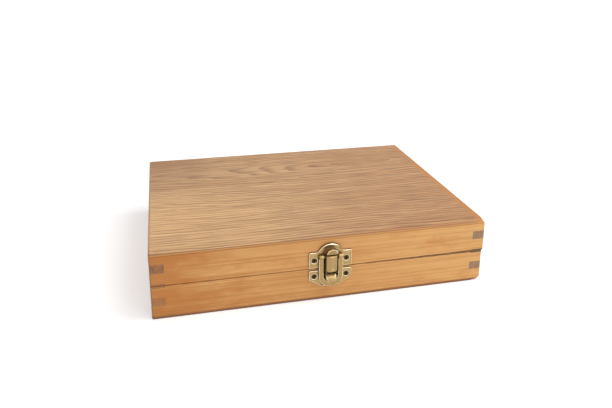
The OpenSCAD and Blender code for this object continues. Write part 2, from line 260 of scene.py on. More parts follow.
def moved_left(loop: np.ndarray, distance: float) -> np.ndarray:
    """Moves a closed outline to the left of its direction, along the mitre of each two sides.

    Args:
        loop: The outline's points in order.
        distance: How far, in millimetres.

    Returns:
        As many points, moved.
    """
    ahead = np.roll(loop, -1, 0) - loop
    ahead /= np.linalg.norm(ahead, axis=1, keepdims=True)
    left = np.stack([-ahead[:, 1], ahead[:, 0]], 1)
    before = np.roll(left, 1, 0)
    mitre = (left + before) / (1 + (left * before).sum(1, keepdims=True))
    return loop + mitre * distance


@dataclass(frozen=True)
class Edge:
    """Edge of a pressed sheet, from its back to its face: insets, heights and the bead on it."""

    inset: tuple[float, ...]
    height: tuple[float, ...]
    # How worn each step is, with painted highlights and painted shade.
    wear_and_light: tuple[float, ...]
    bead: tuple[float, ...] = ()

    @staticmethod
    def soft(thickness: float, radius: float, low: float = 0.0) -> "Edge":
        """A plain edge whose face turns down by a quarter circle.

        Args:
            thickness: How thick the sheet is.
            radius: Radius of the quarter circle.
            low: Height of the sheet's back.

        Returns:
            The edge.
        """
        turn = np.radians(np.linspace(0, 90, 5))
        insets = radius * (1 - np.cos(turn))
        heights = low + thickness - radius * (1 - np.sin(turn))
        back = radius * 0.4
        # The back step gets painted shade and the rounding a painted highlight along with its polish.
        return Edge((back, 0.0, *insets.tolist(), radius + 0.25),
                    (low, low + back, *heights.tolist(), float(heights[-1])),
                    (0.0, 0.1, 0.3, 0.6, 0.95, 0.9, 0.7, 0.5))


def quads(index: np.ndarray, wrap: bool = False) -> np.ndarray:
    """Faces between the rows and columns of a grid of point numbers.

    Args:
        index: The numbers, rows by columns.
        wrap: Whether the last column joins the first.

    Returns:
        A row of four numbers for each face.
    """
    ahead = np.roll(index, -1, 1) if wrap else index[:, 1:]
    here = index if wrap else index[:, :-1]
    return np.stack([here[:-1], ahead[:-1], ahead[1:], here[1:]], -1).reshape(-1, 4)


def pressed_sheet(
    outline: np.ndarray, holes: Sequence[np.ndarray], edge: Edge, crest: np.ndarray | float = 0.0
) -> Surface:
    """Flat sheet with shaped edges: the edge's steps carried along each outline, then both faces.

    The height of point i at step k is the step's height plus crest i times the step's bead.

    Args:
        outline: Outer outline, counter-clockwise.
        holes: Outlines of holes, clockwise.
        edge: The steps of the edge.
        crest: How high the bead stands at each point of the outer outline.

    Returns:
        A closed surface with its face towards +Z.
    """
    bead = edge.bead or (0.0,) * len(edge.inset)
    stacks: list[tuple[np.ndarray, np.ndarray]] = []
    start = 0
    for number, loop in enumerate([outline, *holes]):
        lift = np.broadcast_to(np.asarray(crest, float) if number == 0 else 0.0, (len(loop),))
        rings = np.stack([np.column_stack([moved_left(loop, inset), height + share * lift])
                          for inset, height, share in zip(edge.inset, edge.height, bead)])
        index = start + np.arange(len(rings) * len(loop)).reshape(len(rings), len(loop))
        stacks.append((rings, index))
        start += index.size
    faces = [quads(index, wrap=True) for _, index in stacks]
    for end, up in ((-1, 1), (0, -1)):
        loops = [rings[end][:, :2] for rings, _ in stacks]
        corners = np.array(tessellate_polygon([[Vector((*p, 0.0)) for p in loop] for loop in loops]))
        here, ahead, last = np.vstack(loops)[corners].transpose(1, 2, 0)
        side = (ahead[0] - here[0]) * (last[1] - here[1]) - (ahead[1] - here[1]) * (last[0] - here[0])
        wrong = side * up <= 0
        corners[wrong] = corners[wrong][:, [0, 2, 1]]
        faces.append(np.concatenate([index[end] for _, index in stacks])[corners])
    points = np.vstack([rings.reshape(-1, 3) for rings, _ in stacks])
    wear_and_light = np.concatenate([np.repeat(edge.wear_and_light, index.shape[1]) for _, index in stacks])
    return Surface(points, faces, wear_and_light)


def grid(
    points: np.ndarray, wrap: bool = False, caps: bool = False, wear_and_light: np.ndarray | float = 0.5
) -> Surface:
    """Surface through a grid of points, rows by columns.

    Args:
        points: Array of rows, columns and 3 coordinates, whose columns turn counter-clockwise
            seen from the last row's side.
        wrap: Whether the last column joins the first.
        caps: Whether the first and last rows are closed with one face each.
        wear_and_light: How worn each point is, painted highlights and painted shade included.

    Returns:
        The surface.
    """
    rows, columns = points.shape[:2]
    index = np.arange(rows * columns).reshape(rows, columns)
    faces = [quads(index, wrap)]
    if caps:
        faces += [index[:1, ::-1], index[-1:]]
    return Surface(points.reshape(-1, 3), faces, np.broadcast_to(wear_and_light, (rows, columns)).flatten())


def revolved(steps: np.ndarray, count: int) -> np.ndarray:
    """Grid of points: each step's radius times cosine and sine of each angle, at its height.

    Args:
        steps: Height and radius of each step.
        count: Points round the Z axis.

    Returns:
        The points, steps by angles.
    """
    angle = np.linspace(0, 2 * math.pi, count, endpoint=False)
    ring = np.stack([np.cos(angle), np.sin(angle)], 1)
    high = np.broadcast_to(steps[:, 0, None, None], (len(steps), count, 1))
    return np.concatenate([steps[:, 1, None, None] * ring, high], 2)


def turned(profile: Sequence[tuple[float, float]], count: int) -> Surface:
    """Closed turned piece round the Z axis, from the height and radius of each step upwards."""
    return grid(revolved(np.array(profile, float), count), wrap=True, caps=True)


def barrel(length: float, radius: float, bore: float, lip: float, count: int) -> Surface:
    """Short barrel along Z, from Z = 0 up, whose rims are turned over by two small steps.

    Args:
        length: Its length.
        radius: Its radius.
        bore: Radius of the ring where its end face meets a pin.
        lip: How far each rim is turned over.
        count: Points round the axis.

    Returns:
        A closed surface.
    """
    rim = [(0.0, bore), (0.0, radius - lip), (lip * 0.3, radius - lip * 0.3), (lip, radius)]
    return turned(rim + [(length - rise, reach) for rise, reach in reversed(rim)], count)


def slab(width: float, depth: float, thick: float, step: float, wave: float) -> Surface:
    """Soft mat: a grid whose top rises and falls by a sum of slow sines and whose rim is rounded.

    Args:
        width: Size along X.
        depth: Size along Y.
        thick: Height of the top over the underside, which lies on Z = 0.
        step: Spacing of the grid.
        wave: How far the top wanders.

    Returns:
        A closed surface, centred on the Z axis.
    """
    across = np.linspace(-width / 2, width / 2, int(width / step) + 1)
    along = np.linspace(-depth / 2, depth / 2, int(depth / step) + 1)
    x, y = np.meshgrid(across, along)
    hills = np.sin(x / 9.1 + 0.7) * np.sin(y / 7.3) + 0.6 * np.sin(x / 3.7 + y / 5.1)
    rim = np.minimum(width / 2 - np.abs(x), depth / 2 - np.abs(y))
    fade = np.clip(rim / thick, 0, 1)
    rise = thick * (0.55 + 0.45 * np.sqrt(fade * (2 - fade)))
    top = np.stack([x, y, rise - wave * (1.6 + hills) * fade / 1.6 * 0.6], -1)
    bottom = np.stack([x, y, np.zeros_like(x)], -1)
    index = np.arange(x.size).reshape(x.shape)
    rim_ids = np.concatenate([index[0, :-1], index[:-1, -1], index[-1, :0:-1], index[:0:-1, 0]])
    after = np.roll(rim_ids, -1)
    wall = np.stack([rim_ids + x.size, after + x.size, after, rim_ids], -1)
    faces = [quads(index), quads(index)[:, ::-1] + x.size, wall]
    points = np.vstack([top.reshape(-1, 3), bottom.reshape(-1, 3)])
    return Surface(points, faces, np.full(len(points), 0.5))


# Finishes


@dataclass(frozen=True)
class Value:
    """An output among a material's nodes, which can be calculated with as a number can."""

    graph: "Graph"
    socket: bpy.types.NodeSocket

    def __add__(self, other: "Value | float") -> "Value":
        """The sum."""
        return self.graph.calc("ADD", self, other)

    def __sub__(self, other: "Value | float") -> "Value":
        """What is left after taking the other away."""
        return self.graph.calc("SUBTRACT", self, other)

    def __rsub__(self, other: float) -> "Value":
        """What is left of a plain number after taking this away."""
        return self.graph.calc("SUBTRACT", other, self)

    def __mul__(self, other: "Value | float") -> "Value":
        """The product."""
        return self.graph.calc("MULTIPLY", self, other)

    def __truediv__(self, other: "Value | float") -> "Value":
        """The quotient."""
        return self.graph.calc("DIVIDE", self, other)

    def __abs__(self) -> "Value":
        """The size without its sign."""
        return self.graph.calc("ABSOLUTE", self)


class Graph:
    """The nodes of one material, or of the world, made by what they do."""

    def __init__(self, name: str, world: bool = False) -> None:
        """Starts a material with one principled shader, or a world with one background.

        Args:
            name: Its name.
            world: Whether it is a world.
        """
        self.owner = (bpy.data.worlds if world else bpy.data.materials).new(name)
        self.owner.use_nodes = True
        self.nodes = self.owner.node_tree.nodes
        self.links = self.owner.node_tree.links
        self.nodes.clear()
        self.shader = self.nodes.new("ShaderNodeBackground" if world else "ShaderNodeBsdfPrincipled")
        output = self.nodes.new("ShaderNodeOutputWorld" if world else "ShaderNodeOutputMaterial")
        self.links.new(self.shader.outputs[0], output.inputs["Surface"])

    def feed(self, socket: bpy.types.NodeSocket, value: object) -> None:
        """Links an input to a value, or sets it to a constant.

        Args:
            socket: The input.
            value: What it gets.
        """
        if isinstance(value, Value):
            self.links.new(value.socket, socket)
        else:
            socket.default_value = value

    def add(
        self, kind: str, inputs: dict[str | int, object], output: str | int = 0, **settings: object
    ) -> Value:
        """Adds a node.

        Args:
            kind: The node's type, without the start that all share.
            inputs: A value or a constant for each input.
            output: The output that is wanted.
            settings: The node's own settings.

        Returns:
            That output.
        """
        node = self.nodes.new(f"ShaderNode{kind}")
        for key, value in settings.items():
            setattr(node, key, value)
        for key, value in inputs.items():
            self.feed(node.inputs[key], value)
        return Value(self, node.outputs[output])

    def place(self, grain: Grain = Grain.ALONG_X, seed: Triple = (0.0, 0.0, 0.0)) -> Value:
        """Object position in millimetres, turned so that the fibres run along its X.

        Args:
            grain: Which way the fibres run.
            seed: Shift of the pattern, so that no two pieces are alike.

        Returns:
            The position.
        """
        turn = (0.0, 0.0, math.pi / 2 if grain is Grain.ALONG_Y else 0.0)
        where = {"Vector": self.add("TexCoord", {}, "Object"), "Scale": (1000.0,) * 3,
                 "Rotation": turn, "Location": seed}
        return self.add("Mapping", where)

    def stretch(self, vector: Value, by: Triple) -> Value:
        """The vector times a number for each axis."""
        return self.add("VectorMath", {0: vector, 1: by}, operation="MULTIPLY")

    def noise(
        self, vector: Value, by: Triple, detail: float = 2.0, rough: float = 0.5, swirl: float = 0.0
    ) -> Value:
        """Noise that runs as slowly along each axis as the stretch says, from 0 to 1.

        Args:
            vector: Position in millimetres.
            by: Cycles for each millimetre along each axis.
            detail: Number of finer layers.
            rough: How strong the finer layers are.
            swirl: How far the noise is bent by itself.

        Returns:
            The noise.
        """
        return self.add("TexNoise", {"Vector": self.stretch(vector, by), "Scale": 1.0, "Detail": detail,
                                     "Roughness": rough, "Distortion": swirl})

    def calc(self, operation: str, first: Value | float, second: Value | float = 0.0) -> Value:
        """One sum on two numbers."""
        return self.add("Math", {0: first, 1: second}, operation=operation)

    def remap(
        self, value: Value, low: float, high: float, to_low: float = 0.0, to_high: float = 1.0,
        smooth: bool = False
    ) -> Value:
        """The value carried from one range to another, and held at its ends.

        Args:
            value: The number to carry over.
            low: Where the first range starts.
            high: Where it ends.
            to_low: Where the second range starts.
            to_high: Where it ends.
            smooth: Whether it eases in and out.

        Returns:
            The new number.
        """
        inputs = {"Value": value, "From Min": low, "From Max": high, "To Min": to_low, "To Max": to_high}
        return self.add("MapRange", inputs, interpolation_type="SMOOTHSTEP" if smooth else "LINEAR")

    def ramp(self, value: Value, stops: Sequence[tuple[float, Colour]]) -> Value:
        """The colour that belongs to a number.

        Args:
            value: The number.
            stops: Numbers and their colours, with even passages between.

        Returns:
            The colour.
        """
        made = self.add("ValToRGB", {0: value})
        band = made.socket.node.color_ramp
        while len(band.elements) < len(stops):
            band.elements.new(0.5)
        for element, (position, colour) in zip(band.elements, stops):
            element.position = position
            element.color = linear(colour)
        return made

    def mix(self, share: Value | float, under: Value | Colour, over: Value | Colour) -> Value:
        """Lays one colour over another.

        Args:
            share: How much of the upper one shows.
            under: The lower colour.
            over: The upper colour.

        Returns:
            The mixed colour.
        """
        lower, upper = (side if isinstance(side, Value) else linear(side) for side in (under, over))
        return self.add("Mix", {0: share, 6: lower, 7: upper}, 2, data_type="RGBA")

    def part(self, vector: Value, axis: int) -> Value:
        """One coordinate of a vector."""
        return self.add("SeparateXYZ", {0: vector}, axis)

    def span(self, vector: Value, centre: Triple, by: Triple) -> Value:
        """Distance from a centre, with each axis weighed by a number.

        Args:
            vector: Position in millimetres.
            centre: The centre.
            by: The weights.

        Returns:
            The distance.
        """
        moved = self.add("VectorMath", {0: vector, 1: tuple(-c for c in centre)}, operation="ADD")
        return self.add("VectorMath", {0: self.stretch(moved, by)}, "Value", operation="LENGTH")

    def facing(self, axis: int, low: float = 0.6, high: float = 0.8) -> Value:
        """1 where the surface faces along an axis either way, else 0."""
        side = abs(self.part(self.add("TexCoord", {}, "Normal"), axis))
        return self.remap(side, low, high, smooth=True)

    def height(self, low: float, high: float) -> Value:
        """0 to 1 as the object's height goes from low to high, in millimetres."""
        return self.remap(self.part(self.add("TexCoord", {}, "Object"), 2), low * MM, high * MM)

    def seen(self) -> Value:
        """What the camera and reflections see, told from the light that a surface sends on.

        Returns:
            1 for the camera, for a reflection and through glass, else 0.
        """
        kinds = ("Camera", "Glossy", "Transmission")
        rays = [self.add("LightPath", {}, f"Is {kind} Ray") for kind in kinds]
        return reduce(lambda one, other: self.calc("MAXIMUM", one, other), rays)

    def bump(self, value: Value, depth: float, strength: float) -> None:
        """Raises the shader's surface where the value is high.

        Args:
            value: Height from 0 to 1.
            depth: What 1 stands for, in millimetres.
            strength: How much of it shows.
        """
        made = self.add("Bump", {"Height": value, "Distance": depth * MM, "Strength": strength})
        self.feed(self.shader.inputs["Normal"], made)

    def dress(self, **values: object) -> bpy.types.Material | bpy.types.World:
        """Sets the shader's inputs, spaces in their names written as underscores.

        Args:
            values: A value or a constant for each input.

        Returns:
            The finished material or world.
        """
        for key, value in values.items():
            self.feed(self.shader.inputs[key.replace("_", " ")], value)
        return self.owner


@dataclass(frozen=True)
class BoardWood:
    """Varnished solid wood with fine straight grain and grey-brown end grain."""

    name: str
    grain: Grain
    seed: Triple
    pale: Colour = (234, 184, 118)
    mid: Colour = (219, 162, 96)
    deep: Colour = (192, 127, 66)
    # Colour of the pores, also used as painted shade behind the catch's window.
    pore_and_shade: Colour = (146, 88, 44)
    # Golden tint used as painted light towards the right end.
    golden: Colour = (232, 182, 112)
    end_pale: Colour = (176, 139, 104)
    end_deep: Colour = (134, 101, 73)
    # Colour of the painted shade in the seam and round the catch's window.
    painted_shade: Colour = (56, 28, 10)
    # Colour of the blotches, which towards the left end are painted shade.
    stain_and_shade: Colour = (188, 110, 40)
    seam_z: float = 25.0
    low_end_varnish: float = 0.0
    window: Triple | None = None

    def material(self) -> bpy.types.Material:
        """Fibre lines are noise drawn out a hundredfold along the grain, and pores are shorter.

        Returns:
            The finish.
        """
        graph = Graph(self.name)
        spot = graph.place(self.grain, self.seed)
        bands = graph.noise(spot, (0.005, 0.09, 0.11), 2.0, 0.5, 0.5)
        lines = graph.noise(spot, (0.006, 1.15, 1.25), 4.0, 0.66, 0.1)
        pores = graph.remap(graph.noise(spot, (0.08, 3.2, 3.6), 2.0), 0.58, 0.72)
        clouds = graph.noise(spot, (0.020, 0.055, 0.06), 3.0, 0.55)
        hairs = graph.noise(spot, (0.004, 0.55, 0.60), 2.0, 0.55)
        tone = lines * 0.45 + bands * 0.20 + hairs * 0.35 + (clouds - 0.5) * 0.22
        wood = graph.ramp(tone, ((0.31, self.deep), (0.50, self.mid), (0.70, self.pale)))
        wood = self.stained_and_shaded(graph, graph.mix(pores * 0.34, wood, self.pore_and_shade))
        specks = graph.noise(spot, (0.9, 1.9, 1.9), 3.0, 0.65)
        rings = graph.noise(spot, (0.02, 0.5, 0.16), 2.0, 0.5, 0.4)
        ends = graph.ramp(specks * 0.6 + rings * 0.4, ((0.36, self.end_deep), (0.62, self.end_pale)))
        below = 1.0 - graph.height(self.seam_z - 0.5, self.seam_z + 0.5)
        ends = graph.mix(below * self.low_end_varnish, ends, wood)
        surface = self.shade_seam_and_window(graph, graph.mix(graph.facing(self.grain.value), wood, ends))
        graph.bump(lines - pores * 0.8, 0.05, 0.5)
        sheen = graph.remap(lines, 0.3, 0.7, 0.52, 0.40)
        return graph.dress(Base_Color=surface, Roughness=sheen, Specular_IOR_Level=0.4)

    def stained_and_shaded(self, graph: Graph, wood: Value) -> Value:
        """Ruddy blotches in the varnish, a few more low on the base. Their growth towards the left end is
        painted shade, and a golden tint towards the right end is painted light.

        Args:
            graph: The material's nodes.
            wood: The wood's colour.

        Returns:
            The colour with blotches, painted shade and painted light.
        """
        plain = graph.place()
        x, z = graph.part(plain, 0), graph.part(plain, 2)
        blotches = graph.noise(plain, (0.035, 0.07, 0.10), 3.0, 0.6, 0.4)
        # The blotches grow towards the left end as painted shade.
        left = graph.remap(x, -30.0, -122.0, 0.0, 0.40, smooth=True)
        low = graph.remap(z, 16.0, 4.0, 0.0, 0.06, smooth=True)
        # Golden tint towards the right end: painted light.
        wood = graph.mix(graph.remap(x, 20.0, 120.0, 0.0, 0.16, smooth=True), wood, self.golden)
        return graph.mix(graph.remap(blotches + (left + low), 0.54, 0.94, 0.0, 0.72), wood, self.stain_and_shade)

    def shade_seam_and_window(self, graph: Graph, wood: Value) -> Value:
        """Painted shade along the seam between base and lid, wider to the right, and behind the catch's
        window.

        Args:
            graph: The material's nodes.
            wood: The colour so far.

        Returns:
            The colour with painted shade.
        """
        plain = graph.place()
        x, y, z = (graph.part(plain, axis) for axis in range(3))
        # Painted shade in the seam between base and lid, wider to the right, on upright faces only.
        ragged = graph.noise(plain, (0.12, 0.12, 0.5), 3.0, 0.6) * 0.7
        near = abs(z - self.seam_z) + ragged - graph.remap(x, 0.0, 125.0, 0.05, 0.80)
        upright = 1.0 - graph.facing(2, 0.75, 0.95)
        wood = graph.mix(graph.remap(near, 0.80, 0.40, 0.0, 0.85, smooth=True) * upright, wood, self.painted_shade)
        # Painted shade on the wood seen through the catch's window: browner inside, dark near its rim low
        # down.
        if self.window is not None:
            outside = graph.remap(y, self.window[1] + 1.5, self.window[1] + 0.5)
            away = graph.span(plain, self.window, (1.0, 0.0, 1.0))
            brown = graph.remap(away, 10.0, 6.5, 0.0, 0.55, smooth=True) * outside
            low = graph.remap(z, self.window[2] + 3.0, self.window[2])
            rim = graph.remap(away, 4.2, 5.8) * graph.remap(away, 8.0, 7.0)
            wood = graph.mix(rim * low * outside * 0.8, graph.mix(brown, wood, self.pore_and_shade), self.painted_shade)
        return wood


@dataclass(frozen=True)
class Veneer:
    """Flat-sawn plywood face: dark growth lines that run in nested arches, over a greyish tan."""

    name: str
    seed: Triple
    arch_at: tuple[float, float] = (70.0, 50.0)
    arch_slope: float = 0.12
    line_gap: float = 3.7
    pale: Colour = (222, 180, 130)
    mid: Colour = (184, 137, 90)
    line: Colour = (98, 58, 30)
    worn: Colour = (186, 120, 56)
    ruddy: Colour = (180, 126, 76)
    faded: Colour = (232, 184, 128)
    # Colour of the painted shadow over the back left of the top.
    back_shadow: Colour = (144, 94, 52)
    # Colours up the panel's edge; the darker band near its top is painted shade on the rounding.
    side: tuple[tuple[float, Colour], ...] = (
        (0.0, (209, 149, 87)), (0.62, (209, 149, 87)), (0.74, (138, 100, 80)), (0.90, (150, 112, 90)))
    half_size: tuple[float, float] = (125.0, 95.0)
    edge_z: tuple[float, float] = (47.6, 50.0)

    def material(self) -> bpy.types.Material:
        """Growth lines repeat with the distance from a point, which is flattened along the grain.

        Returns:
            The finish.
        """
        graph = Graph(self.name)
        spot = graph.place(Grain.ALONG_X, self.seed)
        plain = graph.place()
        x, y = graph.part(plain, 0), graph.part(plain, 1)
        length = graph.span(plain, (*self.arch_at, 0.0), (self.arch_slope, 1.0, 0.0))
        wander = graph.noise(spot, (0.006, 0.03, 0.03), 3.0, 0.5)
        small = graph.noise(spot, (0.02, 0.30, 0.2), 2.0)
        phase = graph.calc("FRACT", (length + wander * 22.0 + small * 0.9) / self.line_gap)
        late = graph.remap(phase, 0.30, 0.90, smooth=True) * graph.remap(phase, 1.0, 0.93)
        dashes = graph.noise(spot, (0.014, 1.3, 1.3), 4.0, 0.62)
        broken = late * graph.remap(dashes, 0.36, 0.58)
        pores = graph.remap(graph.noise(spot, (0.035, 1.9, 1.9), 3.0, 0.6), 0.50, 0.64)
        clouds = graph.noise(spot, (0.012, 0.02, 0.02), 3.0)
        bands = graph.noise(spot, (0.005, 0.10, 0.10), 3.0)
        fine = graph.noise(spot, (0.006, 0.62, 0.62), 3.0, 0.6)
        wood = graph.ramp(bands * 0.35 + fine * 0.65, ((0.38, self.mid), (0.60, self.pale)))
        warm = x / (2.0 * self.half_size[0]) + clouds * 0.8
        streak = graph.remap(warm, -0.1, 0.7, 0.72, 1.0)
        front = graph.remap(y, 40.0, -40.0, smooth=True)
        # Painted shadow at the back left: the third coat, and the faded coat's fall towards the back.
        coats = (
            (graph.remap(warm, 0.25, 0.85, 0.0, 0.60), self.ruddy),
            (graph.remap(warm, 0.36, -0.10, 0.0, 0.70) * front, self.faded),
            (graph.remap(warm, 0.45, 0.0) * graph.remap(y, -10.0, 80.0, 0.0, 0.55), self.back_shadow),
            (broken * 0.85 * streak, self.line),
            (pores * 0.72 * streak, self.line),
            (self.edge_share(graph, plain), self.worn),
        )
        for share, colour in coats:
            wood = graph.mix(share, wood, colour)
        side = graph.ramp(graph.height(*self.edge_z), self.side)
        streaks = graph.noise(spot, (0.012, 0.9, 1.1), 4.0, 0.6)
        side = graph.mix(graph.remap(streaks, 0.4, 0.75, 0.0, 0.30), side, self.line)
        surface = graph.mix(graph.facing(2, 0.55, 0.9), side, wood)
        brink = graph.remap(self.half_size[0] - x, 1.1, 0.4, 0.0, 0.65, smooth=True)
        graph.bump(dashes - (broken + pores), 0.06, 0.5)
        return graph.dress(Base_Color=graph.mix(brink, surface, self.line), Specular_IOR_Level=0.35,
                           Roughness=graph.remap(dashes, 0.3, 0.7, 0.55, 0.42))

    def edge_share(self, graph: Graph, plain: Value) -> Value:
        """How worn the veneer is, which grows from a ragged line to the panel's outer edge.

        The band is widest along the right end, and along the front it fades towards the left.

        Args:
            graph: The material's nodes.
            plain: Position in millimetres.

        Returns:
            0 away from the edges, towards 1 at them.
        """
        x, y = graph.part(plain, 0), graph.part(plain, 1)
        half_x, half_y = self.half_size
        right = (half_x - x) * 0.44
        left = x + 1.2 + half_x
        front = y + graph.remap(x, 60.0, -20.0, 0.0, 2.6) + half_y
        back = half_y - (y - 1.0)
        nearest = reduce(lambda one, other: graph.calc("MINIMUM", one, other), (left, right, front, back))
        ragged = graph.noise(plain, (0.08, 0.08, 0.08), 3.0, 0.6)
        return graph.remap(nearest + ragged * 2.0, 3.9, 2.3, 0.0, 0.9, smooth=True)


@dataclass(frozen=True)
class Felt:
    """Pressed wool: no weave, a soft nap and darker and lighter tufts."""

    name: str
    pale: Colour = (62, 104, 76)
    deep: Colour = (34, 66, 48)

    def material(self) -> bpy.types.Material:
        """Tufts are fine noise, over slow patches where the nap lies differently.

        Returns:
            The finish.
        """
        graph = Graph(self.name)
        spot = graph.place(Grain.ALONG_X, (3.0, 7.0, 1.0))
        tufts = graph.noise(spot, (2.6, 2.6, 2.6), 4.0, 0.7, 0.8)
        patches = graph.noise(spot, (0.035, 0.05, 0.05), 2.0)
        cloth = graph.ramp(tufts * 0.6 + patches * 0.4, ((0.35, self.deep), (0.65, self.pale)))
        graph.bump(tufts, 0.22, 0.8)
        return graph.dress(Base_Color=cloth, Roughness=0.95, Sheen_Weight=0.35, Sheen_Roughness=0.5,
                           Specular_IOR_Level=0.15)


@dataclass(frozen=True)
class CoveredShade:
    """Painted shade on a plate's face: a dark area where the lever and ring stand over it."""

    middle_x: float
    face_y: float
    top_z: float
    half: float = 6.2
    soft: float = 2.0
    strength: float = 0.68
    reach: float = 1.6

    def share(self, graph: Graph) -> Value:
        """How dark each point is: full near the middle, fading sideways, upwards and outwards.

        Args:
            graph: The material's nodes.

        Returns:
            0 where no shade is painted, up to its strength.
        """
        plain = graph.place()
        x, y, z = (graph.part(plain, axis) for axis in range(3))
        outer = self.face_y - self.reach
        wide = graph.remap(abs(x - self.middle_x), self.half + self.soft, self.half - self.soft,
                           0.0, self.strength)
        tall = graph.remap(z, self.top_z, self.top_z - 2 * self.soft)
        return wide * tall * graph.remap(y, outer - 0.6, outer)


@dataclass(frozen=True)
class Brass:
    """Aged brass: polish and painted highlights, oxide in hollows and painted shade, and slow patches."""

    name: str
    # The bright colour stands for polish and painted highlights, the darkest one for oxide and painted
    # shade.
    bright: Colour = (250, 234, 204)
    aged: Colour = (178, 147, 100)
    green: Colour = (164, 140, 84)
    patina_and_shade: Colour = (46, 28, 12)
    polish: float = 0.24
    metal: float = 0.85
    seed: Triple = (0.0, 0.0, 0.0)
    covered_shade: CoveredShade | None = None

    def material(self) -> bpy.types.Material:
        """Colour and roughness follow the wear value of each point, unsettled a little by two noises. That
        value holds polish and oxide, and also painted highlights and painted shade.

        Returns:
            The finish.
        """
        graph = Graph(self.name)
        spot = graph.place(Grain.ALONG_X, self.seed)
        # This attribute carries polish and oxide together with painted highlights and painted shade.
        worn = graph.add("Attribute", {}, "Fac", attribute_name="wear_and_light")
        patches = graph.noise(spot, (0.30, 0.30, 0.30), 3.0, 0.55, 0.3)
        spots = graph.noise(spot, (1.4, 1.4, 1.4), 3.0, 0.6)
        scratches = graph.noise(spot, (7.0, 7.0, 0.9), 2.0, 0.6)
        level = worn + ((patches - 0.5) * 0.55 + (spots - 0.5) * 0.35)
        # Painted shade under the lever and ring.
        if self.covered_shade is not None:
            level = level - self.covered_shade.share(graph) * graph.remap(worn, 0.9, 0.6)
        tint = graph.mix(graph.remap(patches, 0.42, 0.60), self.aged, self.green)
        # Low values give oxide and painted shade, high values polish and painted highlights.
        metal = graph.mix(graph.remap(level, 0.0, 0.42, smooth=True), self.patina_and_shade, tint)
        metal = graph.mix(graph.remap(level, 0.62, 1.0, smooth=True), metal, self.bright)
        dull = graph.remap(level, 0.1, 0.8, self.polish + 0.26, self.polish)
        graph.bump(scratches + spots, 0.015, 0.3)
        return graph.dress(Base_Color=metal, Metallic=self.metal,
                           Roughness=dull + graph.remap(scratches, 0.3, 0.8, 0.0, 0.10))


# Putting pieces into the frame


@dataclass(frozen=True)
class Role:
    """What a piece is for: the body it rides on, its slot and the node that it stands for."""

    body: Body
    slot: Slot
    node: str

    def give(self, piece: bpy.types.Object, material: bpy.types.Material) -> bpy.types.Object:
        """Dresses a piece and puts it on its body.

        Args:
            piece: The finished object, at the origin.
            material: Its finish.

        Returns:
            The same object.
        """
        piece.data.materials.clear()
        piece.data.materials.append(material)
        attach(piece, self.body.value)
        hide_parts(self.node)
        LOG.info("%s rides on %s", piece.name, self.body.value)
        return piece


def low_corner(node: str) -> np.ndarray:
    """A node's lowest corner, in millimetres."""
    return np.array(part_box(node)[0]) / MM


def high_corner(node: str) -> np.ndarray:
    """A node's highest corner, in millimetres."""
    return np.array(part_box(node)[1]) / MM


def softened_copy(
    node: str, name: str, width: float, strong: Callable[[Vector], bool]
) -> bpy.types.Object:
    """Copy of a node with its edges taken off: some by the whole width, the rest by a hair.

    Args:
        node: The node to copy.
        name: The copy's name.
        width: Width of a strong edge's rounding, in millimetres.
        strong: Tells by an edge's middle, in millimetres, whether it is a strong one.

    Returns:
        The new object, at the origin.
    """
    joint_share = 0.12
    sharp = math.radians(30)
    shape = bmesh.new()
    shape.from_mesh(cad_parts[node].data)
    bmesh.ops.remove_doubles(shape, verts=shape.verts, dist=1e-6)
    bmesh.ops.dissolve_limit(shape, angle_limit=math.radians(0.5), verts=shape.verts, edges=shape.edges)
    weights = shape.edges.layers.float.new("bevel_weight_edge")
    for edge in shape.edges:
        if len(edge.link_faces) == 2 and edge.calc_face_angle() > sharp:
            middle = (edge.verts[0].co + edge.verts[1].co) / 2 / MM
            edge[weights] = 1.0 if strong(middle) else joint_share
    data = bpy.data.meshes.new(name)
    shape.to_mesh(data)
    shape.free()
    data.shade_smooth()
    data.set_sharp_from_angle(angle=sharp)
    piece = placed(name, data)
    bevel = piece.modifiers.new("rounding", "BEVEL")
    bevel.limit_method = "WEIGHT"
    bevel.width = width * MM
    bevel.segments = 3
    bevel.harden_normals = True
    return piece


